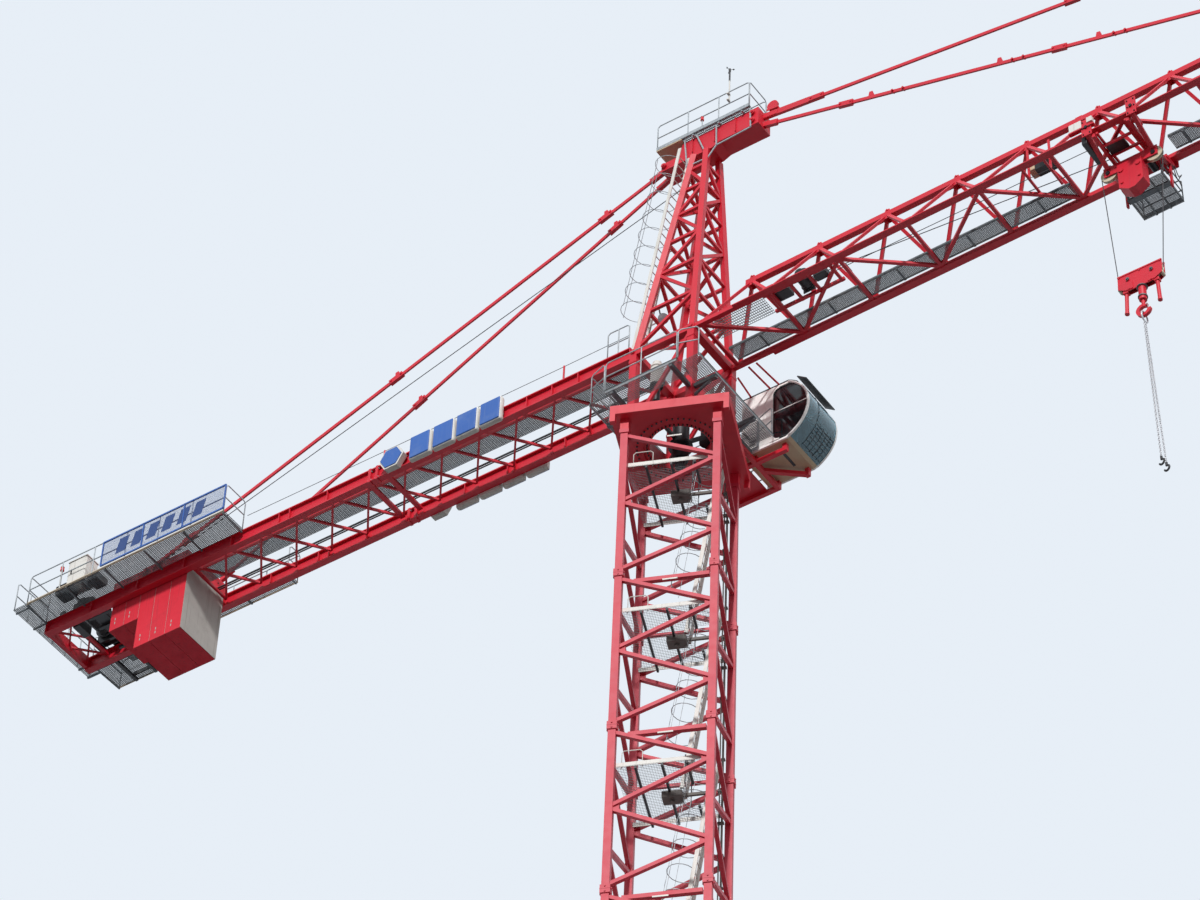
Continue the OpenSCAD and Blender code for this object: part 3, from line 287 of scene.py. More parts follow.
@dataclass(frozen=True)
class Galvanised(Finish):
    """Hot-dip zinc on steel: a dull grey metal whose crystals show as pale flakes."""

    spangle_mm: float = 22.0

    def tones(self, tree: bpy.types.NodeTree, where: bpy.types.NodeSocket) -> bpy.types.NodeSocket:
        """Draws the zinc's flakes, each with a tone of its own."""
        flake = node(tree, "TexVoronoi", Vector=where, Scale=1000 / self.spangle_mm)
        tone = node(tree, "SeparateColor", Color=flake.outputs["Color"]).outputs[0]
        return node(tree, "Mix", {"data_type": "RGBA"}, i0=tone, i6=linear(self.colour),
                    i7=linear(self.second)).outputs[2]


@dataclass(frozen=True)
class Rope(Finish):
    """Greased wire rope, whose strands wind round it and catch the light in turn."""

    lay_mm: float = 60.0

    def bump(self, tree: bpy.types.NodeTree, where: bpy.types.NodeSocket) -> bpy.types.NodeSocket:
        """Draws the strands as slanted ridges along the rope."""
        return node(tree, "TexWave", {"bands_direction": "DIAGONAL"}, Vector=where,
                    Scale=1000 / self.lay_mm, Distortion=0.5).outputs["Fac"]


@dataclass(frozen=True)
class Glass(Finish):
    """Tinted safety glass, blue-green in front; the panes that face sideways are painted near black as
    painted shade of the dark cab behind them.
    """

    # Near black of the side panes: painted shade
    side_shade: str = "#171C20"

    def sideways(self, tree: bpy.types.NodeTree) -> bpy.types.NodeSocket:
        """Draws 1 where a pane faces along Y, and 0 elsewhere."""
        facing = node(tree, "SeparateXYZ", Vector=node(tree, "NewGeometry").outputs["Normal"])
        square = node(tree, "Math", {"operation": "MULTIPLY"}, i0=facing.outputs[1], i1=facing.outputs[1])
        return node(tree, "Math", {"operation": "GREATER_THAN"}, i0=square.outputs[0], i1=0.6).outputs[0]

    def tones(self, tree: bpy.types.NodeTree, where: bpy.types.NodeSocket) -> bpy.types.NodeSocket:
        """Draws the tint on the front panes, and the painted shade on the side panes."""
        tint = super().tones(tree, where)
        return node(tree, "Mix", {"data_type": "RGBA"}, i0=self.sideways(tree), i6=tint,
                    i7=linear(self.side_shade)).outputs[2]

    def extra(self, tree: bpy.types.NodeTree, shader: bpy.types.Node,
              where: bpy.types.NodeSocket) -> None:
        """Lets light through the pane, but little through the side panes, as part of their painted shade."""
        through = node(tree, "MapRange", Value=self.sideways(tree), To_Min=0.88, To_Max=0.1)
        tree.links.new(through.outputs[0], shader.inputs["Transmission Weight"])


@dataclass(frozen=True)
class Lamp(Finish):
    """Moulded lens of a warning lamp, which glows a little."""

    def extra(self, tree: bpy.types.NodeTree, shader: bpy.types.Node,
              where: bpy.types.NodeSocket) -> None:
        """Lets the lens glow."""
        shader.inputs["Emission Color"].default_value = linear(self.colour)
        shader.inputs["Emission Strength"].default_value = 0.15


# Alkyd enamel sprayed on rolled steel: deep even red, semi-gloss
RED = Finish("red_alkyd_enamel", "red_enamel", "#D40D2B", "#B80A24", rough=0.48, dust="#7A2430",
             dust_share=0.25)
# The same enamel on the mast, chalky and paler after years in the sun
FADED = Finish("sun_faded_enamel", "red_enamel", "#C4223A", "#B01A30", rough=0.5, dust="#B0707A",
               dust_share=0.35)
# Cast concrete that was painted with the same enamel: duller, with the cast skin's pores
RED_CONCRETE = Finish("painted_concrete", "concrete", "#D9142E", "#BE1028", rough=0.65, grain_mm=9,
                      grain=0.5,
                      worn="#9A8F88", dust="#7F3038", dust_share=0.4, streaks=0.6)
# Bare cast concrete: pale grey, pored and stained
CONCRETE = Finish("bare_concrete", "concrete", "#B3AEA8", "#96918C", rough=0.85, drift_mm=300, grain_mm=7,
                  grain=0.6, dust="#7D776F", dust_share=0.5, streaks=0.9)
# Zinc-dipped steel of gratings and rails: grey, dull, with flakes
ZINC = Galvanised("galvanised_steel", "galvanised_grating", "#AAB0B3", "#8F959A", rough=0.5,
                  metallic=0.35, dust_share=0.3)
# The same zinc much darker, for gratings, frames and bolts seen from below: painted shade of their
# undersides
ZINC_SHADED = Galvanised("shade_darkened_zinc", "galvanised_grating", "#60666A", "#4B5155", rough=0.6,
                       metallic=0.3, dust_share=0.4)
# White enamel on ladders, motors and toe boards
WHITE = Finish("aged_white_enamel", "white_enamel", "#DEDCD7", "#CECBC4", rough=0.62, dust="#857C70",
               dust_share=0.35,
               streaks=0.6)
# Powder coat of the cab's panels
CAB_WHITE = Finish("white_powder_coat", "white_enamel", "#F6F4F1", "#EEECE8", rough=0.35, dust="#A89E94",
                   dust_share=0.2, streaks=0.4, coat=0.2)
CREAM = Finish("cream_enamel", "galvanised_grating", "#C9B597", "#B8A283", rough=0.5, dust="#7F7361",
               dust_share=0.3)
# Cast nylon of sheaves and rollers: waxy cream
NYLON = Finish("waxy_cast_nylon", "cast_nylon", "#D9CFB8", "#C4B798", rough=0.35, ior=1.53, dust="#5C544A",
               dust_share=0.4)
# Oiled dark steel of winches and hooks
OILED = Finish("oiled_steel", "dark_steel", "#2C2B2E", "#1D1D20", rough=0.38, metallic=0.5, dust="#57504B",
               dust_share=0.3)
# Moulded rubber and plastic in seals, handles and the visor
BLACK = Finish("black_moulding", "dark_steel", "#1B1B1E", "#26262A", rough=0.5, dust="#4A4744",
               dust_share=0.2)
# Brown-grey primer of boxes under the mast's decks
UMBER = Finish("brown_primer", "dark_steel", "#5E5853", "#4B4642", rough=0.6, dust="#7C736A",
               dust_share=0.4)
SEAT = Finish("seat_cloth", "dark_steel", "#2E3036", "#202227", rough=0.9, grain_mm=2.5, grain=0.7,
              dust_share=0.1)
BLUE = Finish("blue_enamel", "white_enamel", "#1F5FB4", "#184E9A", rough=0.35, dust="#8294AB",
              dust_share=0.25,
              coat=0.2)
# Navy paint of the banner's plain shapes
NAVY = Finish("navy_paint", "white_enamel", "#1B3F7C", "#16356A", rough=0.5, dust="#56657E",
              dust_share=0.25)
# Plastic-coated wire mesh in the banner's frame
WIRE_MESH = Finish("coated_wire_mesh", "white_enamel", "#2F5C9E", "#274E8A", rough=0.9, grain_mm=3,
                   grain=0.6,
                    dust="#8E8B86", dust_share=0.3)
ROPE = Rope("greased_steel_rope", "wire_rope", "#4A4A4C", "#2F2F31", rough=0.45, metallic=0.6, grain=0.9,
            grain_mm=8,
            dust_share=0.1)
CHAIN = Finish("bright_chain", "dark_steel", "#D2D3D7", "#B4B5B9", rough=0.4, metallic=0.3, dust="#5A5048",
               dust_share=0.3)
TINTED = Glass("tinted_glass_with_side_shade", "tinted_glass", "#A3D2E0", "#93C4D4", rough=0.06, rough_drift=0.03,
               ior=1.52,
               grain=0.0, dust="#8CA3A8", dust_share=0.1, wear=0.0)
RED_LENS = Lamp("red_lens", "red_enamel", "#D4202C", "#B81824", rough=0.2, dust_share=0.1, wear=0.0)


# Mesh work
def around(count: int, r: float, phase: float = 0.0) -> list[tuple[float, float]]:
    """Places points evenly round a circle.

    Args:
        count: How many points.
        r: The circle's radius.
        phase: The first point's angle.

    Returns:
        Each point's two coordinates from the centre.
    """
    turns = [phase + math.tau * n / count for n in range(count)]
    return [(r * math.cos(a), r * math.sin(a)) for a in turns]


def wedge(x: float, foot: float, head: float, wide: float, narrow: float) -> list[tuple[float, float]]:
    """Draws the outline of a plate that narrows from its foot to its head.

    Args:
        x: Its middle.
        foot: Height of its wide end.
        head: Height of its narrow end.
        wide: Half its width at the foot.
        narrow: Half its width at the head.

    Returns:
        Its four corners.
    """
    return [(x - wide, foot), (x + wide, foot), (x + narrow, head), (x - narrow, head)]


class Work:
    """The bench on which one piece's mesh is put together."""

    def __init__(self, place: Matrix = LEVEL) -> None:
        """Clears the bench.

        Args:
            place: Where the finished piece goes from the frame it is drawn in.
        """
        self.bm = bmesh.new()
        self.place = place

    def block(self, lo: Point, hi: Point, edge: float = 0.0) -> list[bmesh.types.BMVert]:
        """Adds a box between two opposite corners.

        Args:
            lo: One corner.
            hi: The corner across from it.
            edge: Width of the bevel on its edges.

        Returns:
            The box's vertices, as made before the bevel.
        """
        lo, hi = Vector(map(min, lo, hi)), Vector(map(max, lo, hi))
        size = Matrix.Diagonal((*(hi - lo), 1))
        made = bmesh.ops.create_cube(self.bm, size=1, matrix=Matrix.Translation((lo + hi) / 2) @ size)
        if edge:
            edges = list({e for v in made["verts"] for e in v.link_edges})
            bmesh.ops.bevel(self.bm, geom=edges, offset=edge, offset_type="OFFSET", segments=2,
                            profile=0.5, affect="EDGES", material=-1, clamp_overlap=True)
        return made["verts"]

    def bar(self, start: Point, end: Point, width: float, depth: float) -> None:
        """Adds a flat bar from one point to another, its depth in the upright plane."""
        start, end = Vector(start), Vector(end)
        along = end - start
        side = Vector((-along.y, along.x, 0))
        side = side.normalized() if side.length > 1e-6 else Vector((0, 1, 0))
        third = along.normalized().cross(side)
        turn = Matrix((side * width, third * depth, along)).transposed().to_4x4()
        bmesh.ops.create_cube(self.bm, size=1, matrix=Matrix.Translation((start + end) / 2) @ turn)

    def tube(self, start: Point, end: Point, r: float, sides: int = 8,
             r_end: float | None = None) -> None:
        """Adds a round bar or a taper from one point to another.

        Args:
            start: Centre of its first end.
            end: Centre of its other end.
            r: Radius at the first end.
            sides: Number of its sides.
            r_end: Radius at the other end, if it tapers.
        """
        start, end = Vector(start), Vector(end)
        turn = (end - start).to_track_quat("Z", "Y").to_matrix().to_4x4()
        made = bmesh.ops.create_cone(
            self.bm, cap_ends=True, segments=sides, radius1=r, radius2=r if r_end is None else r_end,
            depth=(end - start).length, matrix=Matrix.Translation((start + end) / 2) @ turn)
        for face in {f for v in made["verts"] for f in v.link_faces}:
            if len(face.verts) == 4 and sides > 5:
                face.smooth = True
            elif sides > 5:
                for e in face.edges:
                    e.smooth = False

    def post(self, at: tuple[float, float], low: float, high: float, r: float, sides: int = 8,
             r_end: float | None = None) -> None:
        """Adds an upright round bar, from its place in X and Y and its two heights."""
        self.tube((*at, low), (*at, high), r, sides, r_end)

    def pin(self, at: tuple[float, float], near: float, far: float, r: float, sides: int = 8) -> None:
        """Adds a round bar or disc that lies along Y, from its place in X and Z and its two ends."""
        self.tube((at[0], near, at[1]), (at[0], far, at[1]), r, sides)

    def line(self, points: Sequence[Point], r: float, sides: int = 6) -> None:
        """Adds one tube along a row of points, closed at both ends."""
        points = [Vector(p) for p in points]
        rings = []
        for i, p in enumerate(points):
            back = points[max(i - 1, 0)]
            ahead = points[min(i + 1, len(points) - 1)]
            turn = (ahead - back).to_track_quat("Z", "Y").to_matrix().to_4x4()
            ring = bmesh.ops.create_circle(self.bm, segments=sides, radius=r, cap_ends=False,
                                           matrix=Matrix.Translation(p) @ turn)
            rings.append({e for v in ring["verts"] for e in v.link_edges})
        for first, second in zip(rings, rings[1:]):
            made = bmesh.ops.bridge_loops(self.bm, edges=list(first | second))
            for face in made["faces"]:
                face.smooth = True
        bmesh.ops.holes_fill(self.bm, edges=list(rings[0] | rings[-1]), sides=sides)

    def hoop(self, centre: Point, axis: Point, start: Point, wire: float, angle: float = math.tau,
             steps: int = 16, sides: int = 6) -> None:
        """Adds a round bar that is bent about an axis.

        Args:
            centre: A point on the axis.
            axis: The axis' direction.
            start: Where the bar's centre line starts.
            wire: The bar's radius.
            angle: How far it is bent.
            steps: Number of its straight parts.
            sides: Number of the bar's sides.
        """
        centre, axis, start = Vector(centre), Vector(axis).normalized(), Vector(start)
        arm = start - centre
        along = axis.cross(arm).normalized()
        turn = along.to_track_quat("Z", "Y").to_matrix().to_4x4()
        ring = bmesh.ops.create_circle(self.bm, segments=sides, radius=wire, cap_ends=False,
                                       matrix=Matrix.Translation(start) @ turn)
        edges = list({e for v in ring["verts"] for e in v.link_edges})
        full = angle >= math.tau - 1e-6
        before = set(self.bm.faces)
        made = bmesh.ops.spin(self.bm, geom=edges, cent=centre, axis=axis, angle=angle, steps=steps,
                              use_merge=full, use_duplicate=False)
        for face in set(self.bm.faces) - before:
            face.smooth = True
        if not full:
            last = [g for g in made["geom_last"] if isinstance(g, bmesh.types.BMEdge)]
            bmesh.ops.holes_fill(self.bm, edges=edges + last, sides=sides)

    def plate(self, outline: Sequence[tuple[float, float]], lo: float, hi: float,
              across: str = "Y") -> None:
        """Adds a plate from its outline.

        Args:
            outline: Its corners in X and Z for across Y, in X and Y for Z, in Y and Z for X.
            lo: Where it starts across its own plane.
            hi: Where it ends, on either side of that.
            across: The axis that it is thick along.
        """
        lo, hi = sorted((lo, hi))
        spread = {"Y": lambda a, b: (a, lo, b), "Z": lambda a, b: (a, b, lo),
                  "X": lambda a, b: (lo, a, b)}[across]
        push = {"Y": (0, hi - lo, 0), "Z": (0, 0, hi - lo), "X": (hi - lo, 0, 0)}[across]
        face = self.bm.faces.new([self.bm.verts.new(spread(a, b)) for a, b in outline])
        made = bmesh.ops.extrude_face_region(self.bm, geom=[face], use_keep_orig=True)
        moved = [g for g in made["geom"] if isinstance(g, bmesh.types.BMVert)]
        bmesh.ops.translate(self.bm, verts=moved, vec=push)

    def bolt(self, at: Point, axis: Point, r: float = 0.011, h: float = 0.012) -> None:
        """Adds a hexagon head that stands on a face."""
        at, axis = Vector(at), Vector(axis).normalized()
        self.tube(at - axis * 0.001, at + axis * h, r, 6)

    def rail(self, start: Point, end: Point, posts: int, height: float = 0.52, r: float = 0.0085,
             toe: float = 0.0, lean: Point = (0, 0, 0)) -> None:
        """Adds a guard rail of tubes with posts, two rails and a toe board.

        Args:
            start: Foot of its first post.
            end: Foot of its last post.
            posts: Number of its bays.
            height: Height of the top rail.
            r: Radius of the tubes.
            toe: Height of the toe board, or nothing.
            lean: How far the top stands out from the foot.
        """
        start, end, lean = Vector(start), Vector(end), Vector(lean)
        up = Vector((0, 0, height - r)) + lean
        bend = (end - start).normalized() * 0.035
        shoulder = up * (1 - 0.035 / up.length)
        self.line([start, start + shoulder, start + up + bend, end + up - bend, end + shoulder, end], r, 8)
        for i in range(1, posts):
            foot = start.lerp(end, i / posts)
            self.tube(foot, foot + up, r)
        self.tube(start + up * 0.52, end + up * 0.52, r)
        if toe:
            self.bar(start + Vector((0, 0, toe / 2)), end + Vector((0, 0, toe / 2)), 0.004, toe)

    def grating(self, lo: Point, hi: Point, pitch: float = 0.03, bars: int = 6,
                lengthwise: bool = True, thick: float = 0.002) -> None:
        """Adds a grating of upright flat bars with cross rods.

        Args:
            lo: Its lowest corner.
            hi: Its highest corner.
            pitch: Distance between two cross rods.
            bars: Number of flat bars.
            lengthwise: Whether the flat bars run along X.
            thick: Half the thickness of its bars.
        """
        a, b = Vector(lo), Vector(hi)
        i, j = (0, 1) if lengthwise else (1, 0)
        for n in range(bars):
            c = a[j] + (b[j] - a[j]) * n / (bars - 1)
            p, q = a.copy(), b.copy()
            p[j], q[j] = max(c - thick, a[j]), min(c + thick, b[j])
            p[2] = b[2] - (b[2] - a[2]) * 0.6
            self.block(p, q)
        count = max(int((b[i] - a[i]) / pitch), 1)
        for n in range(count + 1):
            c = a[i] + (b[i] - a[i]) * n / count
            p, q = a.copy(), b.copy()
            p[i], q[i] = max(c - thick, a[i]), min(c + thick, b[i])
            p[2] = b[2] - (b[2] - a[2]) * 0.4
            self.block(p, q)

    def ladder(self, foot: Point, head: Point, width: Point, pitch: float = 0.15) -> None:
        """Adds a ladder with flat stiles and round rungs.

        Args:
            foot: Middle of its foot.
            head: Middle of its top.
            width: From its middle to a stile.
            pitch: Distance between two rungs.
        """
        foot, head, width = Vector(foot), Vector(head), Vector(width)
        along = head - foot
        for s in SIDES:
            self.bar(foot + width * s, head + width * s, 0.012, 0.03)
        count = int(along.length / pitch)
        for n in range(1, count):
            at = foot + along * (n / count)
            self.tube(at - width, at + width, 0.007, 6)

    def pad(self, low: Point, high: Point, power: float = 4.0) -> None:
        """Adds a crowned cushion whose sides and corners are rounded.

        Args:
            low: Its lowest corner, before the rounding.
            high: Its highest corner.
            power: How square the form is, 2 for an ellipsoid.
        """
        low, high = Vector(low), Vector(high)
        before = len(self.bm.verts)
        made = bmesh.ops.create_cube(self.bm, size=2.0)["verts"]
        edges = list({e for v in made for e in v.link_edges})
        bmesh.ops.subdivide_edges(self.bm, edges=edges, cuts=9, use_grid_fill=True)
        points = list(self.bm.verts)[before:]
        for v in points:
            swell = sum(abs(c) ** power for c in v.co) ** (-1 / power)
            v.co = (low + high) / 2 + Vector(c * swell * h / 2 for c, h in zip(v.co, high - low))
        for face in {f for v in points for f in v.link_faces}:
            face.smooth = True

    def shape(self, name: str, look: Finish) -> bpy.types.Object:
        """Takes the piece off the bench and paints it, on no body yet.

        Args:
            name: The piece's name.
            look: Its finish.

        Returns:
            The new object.
        """
        bmesh.ops.transform(self.bm, matrix=self.place, verts=self.bm.verts)
        bmesh.ops.recalc_face_normals(self.bm, faces=self.bm.faces)
        mesh = bpy.data.meshes.new(name)
        self.bm.to_mesh(mesh)
        self.bm.free()
        made = bpy.data.objects.new(name, mesh)
        bpy.context.scene.collection.objects.link(made)
        mesh.materials.append(look.make())
        return made

    def finish(self, name: str, body: Body, look: Finish, *stands_for: str,
               slot: str = "") -> bpy.types.Object:
        """Takes the piece off the bench, paints it and sets it on its body.

        Args:
            name: The piece's name.
            body: The body it rides on.
            look: Its finish.
            *stands_for: CAD nodes that it is shown instead of.
            slot: The record's material slot, where it isn't the finish's own. Not used.

        Returns:
            The finished object.
        """
        made = self.shape(name, look)
        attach(made, body.value)
        if stands_for:
            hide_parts(*stands_for)
        log.info("%s: %d faces on %s", name, len(made.data.polygons), body.value)
        return made


def dress(nodes: dict[str, bpy.types.Object], names: Sequence[str], look: Finish) -> None:
    """Gives CAD nodes a finish.

    Args:
        nodes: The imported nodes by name.
        names: The nodes to dress.
        look: Their finish.
    """
    for name in names:
        mesh = nodes[name].data
        mesh.materials.clear()
        mesh.materials.append(look.make())


# Assemblies
@dataclass
class Mast:
    """The lattice mast with its platforms, ladders, splices and foot."""

    sleeve: float = 0.014
    pin_rise: float = 0.036
    anchor_r: float = 1.272
    gusset: float = 0.012
    deck_drop: float = 0.6
    deck_x: float = 0.568
    deck_y: float = 0.552
    deck_front: float = -0.53
    bearer: float = 0.028
    toe_h: float = 0.065
    board: float = 0.006
    hatch: tuple[float, float] = (0.2, -0.15)
    hatch_w: tuple[float, float] = (0.35, 0.4)
    hatch_rail: float = 0.45
    ladder_foot: tuple[float, float] = (0.146, 0.05)
    ladder_half: float = 0.1
    lean: float = 0.4
    above: float = 0.46
    cable_r: float = 0.014
    clip_pitch: float = 0.5

    def splices(self) -> None:
        """Puts the pins on the leg splices and the bolts on the feet."""
        pins, bolts = Work(MAST), Work(MAST)
        proud = LEG / 2 + self.sleeve
        seam = proud + 0.002
        for x in (-LEG_HALF, LEG_HALF):
            for y in (-LEG_HALF, LEG_HALF):
                for k in range(1, SECTIONS):
                    z = BASE_H + k * SECTION
                    for dz in (-self.pin_rise, self.pin_rise):
                        for s in SIDES:
                            pins.bolt((x, y + s * proud, z + dz), (0, s, 0), 0.012, 0.01)
                            pins.bolt((x + s * proud, y, z + dz), (s, 0, 0), 0.012, 0.01)
                    pins.block((x - seam, y - seam, z - 0.003), (x + seam, y + seam, z + 0.003))
        pins.finish("mast_pins", Body.TOWER, FADED)
        washer_r, nut_r, thread_r = 0.032, 0.026, 0.0165
        for at in around(4, self.anchor_r, math.radians(45)):
            bolts.post(at, 0.04, 0.052, washer_r, 16)
            bolts.post(at, 0.05, 0.075, nut_r, 6)
            bolts.post(at, 0.03, 0.1, thread_r, 12)
        bolts.finish("mast_bolts", Body.TOWER, OILED)

    def gussets(self) -> None:
        """Puts node plates where the diagonals meet the legs, and the bars at each joint."""
        work = Work(MAST)
        face = LEG_HALF - LEG / 2
        tall, short, deep = 0.085, 0.04, 0.07
        for turn in range(4):
            spin = Matrix.Rotation(math.pi / 2 * turn, 4, "Z")
            start = len(work.bm.verts)
            for k in range(SECTIONS):
                for j in range(1, 4):
                    z = BASE_H + (k + j / 4) * SECTION
                    s = 1 if j % 2 else -1
                    edge, inner = s * face, s * (face - deep)
                    work.plate([(edge, z - tall), (inner, z - short), (inner, z + short), (edge, z + tall)],
                               -LEG_HALF - self.gusset / 2, -LEG_HALF + self.gusset / 2)
            work.bm.verts.ensure_lookup_table()
            bmesh.ops.transform(work.bm, matrix=spin, verts=work.bm.verts[start:])
        bar_start, bar_end, bar_y = -0.434, 0.516, -0.49
        for k in range(1, SECTIONS):
            z = BASE_H + k * SECTION
            work.block((bar_start, bar_y - 0.03, z - 0.078), (bar_end, bar_y + 0.03, z - 0.015), 0.003)
            work.block((-face, face - 0.04, z - 0.04), (face, face, z))
        work.finish("mast_gussets", Body.TOWER, FADED)

    def platforms(self) -> None:
        """Builds the platforms: grating on dark bars, toe board, hatch rail and hand hoop."""
        work, toe, dark, case = Work(MAST), Work(MAST), Work(MAST), Work(MAST)
        (hx, hy), (wx, wy) = self.hatch, self.hatch_w
        dx, dy, front = self.deck_x, self.deck_y, self.deck_front
        sheets = (((-dx, -dy), (hx, dy), 40), ((hx, -dy), (dx, hy), 15),
                  ((hx + wx, hy), (dx, hy + wy), 2), ((hx, hy + wy), (dx, dy), 11))
        bearers = ((-0.32, -dy, dy), (0.0, -dy, dy), (0.3, -dy, hy), (0.3, hy + wy, dy))
        hoop_start, hoop_end, hoop_h, bend = -0.49, -0.24, 0.27, 0.03
        for k in range(1, SECTIONS + 1):
            joint = BASE_H + k * SECTION
            z = joint - self.deck_drop
            for lo, hi, bars in sheets:
                work.grating((*lo, z + 0.012), (*hi, z + 0.02), 0.03, bars, thick=0.0009)
            for x, y0, y1 in bearers:
                dark.block((x - self.bearer / 2, y0, z - 0.03), (x + self.bearer / 2, y1, z + 0.008))
            case.block((-0.1, -0.06, z - 0.1), (0.15, 0.1, z), 0.01)
            case.block((0.15, 0.0, z - 0.06), (0.5, 0.03, z - 0.02))
            case.post((0.02, 0.02), z - 0.1, z - 0.13, 0.03, 16)
            for s in SIDES:
                toe.block((-dx, s * dy, z + 0.01), (dx, s * (dy - self.board), z + 0.01 + self.toe_h))
            toe.block((-0.07, front, joint - 0.1), (0.12, front + self.board, joint - 0.078))
            rail = z + self.hatch_rail
            work.line([(hx, hy, z), (hx, hy, rail), (hx, hy + wy, rail), (hx, hy + wy, z)], 0.008)
            shoulder, top = z + hoop_h - bend, z + hoop_h
            toe.line([(hoop_start, front, z), (hoop_start, front, shoulder), (hoop_start + bend, front, top),
                      (hoop_end - bend, front, top), (hoop_end, front, shoulder), (hoop_end, front, z)],
                     0.006)
        work.finish("mast_decks", Body.TOWER, ZINC_SHADED, "mast_platforms")
        toe.finish("mast_toe_boards", Body.TOWER, WHITE)
        dark.finish("mast_deck_bars", Body.TOWER, OILED)
        case.finish("mast_deck_boxes", Body.TOWER, UMBER)

    def ladders(self) -> None:
        """Builds the leaning ladders with their cages of hoops and straps."""
        stiles, cages = Work(MAST), Work(MAST)
        half = self.ladder_half
        back, deep = Vector((-0.17, 0, 0)), 0.15
        r = math.hypot(deep, half)
        for k in range(1, SECTIONS):
            z = BASE_H + k * SECTION - self.deck_drop + 0.02
            foot = Vector((*self.ladder_foot, z))
            head = foot + Vector((self.lean, 0, SECTION + self.above))
            stiles.ladder(foot, head, (0, half, 0))
            for s in SIDES:
                off = Vector((0, s * half, 0))
                stiles.bar(foot + off, head + off, 0.02, 0.05)
            for n in range(6):
                at = foot.lerp(head, 0.3 + 0.125 * n)
                cages.hoop(at + back, (deep, 0, 1), at + Vector((-0.02, half, 0)), 0.0055,
                           1.62 * math.pi, 14, 5)
            for a in (0.7, 1.0, 1.3):
                side = back + Vector((r * math.cos(math.pi * a), r * math.sin(math.pi * a), -0.02))
                cages.bar(foot.lerp(head, 0.29) + side, foot.lerp(head, 0.94) + side, 0.01, 0.004)
        stiles.finish("mast_ladder_rungs", Body.TOWER, WHITE, "mast_ladders")
        cages.finish("mast_ladder_hoops", Body.TOWER, ZINC)

    def cables(self) -> None:
        """Runs the supply cable and its earth wire up the right rear leg, on clips."""
        work = Work(MAST)
        x = y = LEG_HALF - LEG / 2 - 0.03
        low, apart = BASE_H + 0.1, 0.035
        work.post((x, y), low, MAST_TOP, self.cable_r, 8)
        work.post((x - apart, y), low, MAST_TOP, 0.009, 8)
        for n in range(30):
            z = BASE_H + 0.3 + n * self.clip_pitch
            work.block((x - 0.055, y - 0.012, z), (x + 0.025, y + 0.034, z + 0.02))
        work.finish("mast_cables", Body.TOWER, UMBER)

    def build(self, nodes: dict[str, bpy.types.Object]) -> None:
        """Dresses the mast's nodes and builds its detail."""
        dress(nodes, ("base_frame", "mast_legs", "mast_side_front", "mast_side_back",
                      "mast_side_left", "mast_side_right"), FADED)
        dress(nodes, ("slew_support",), RED)
        self.splices()
        self.gussets()
        self.platforms()
        self.ladders()
        self.cables()


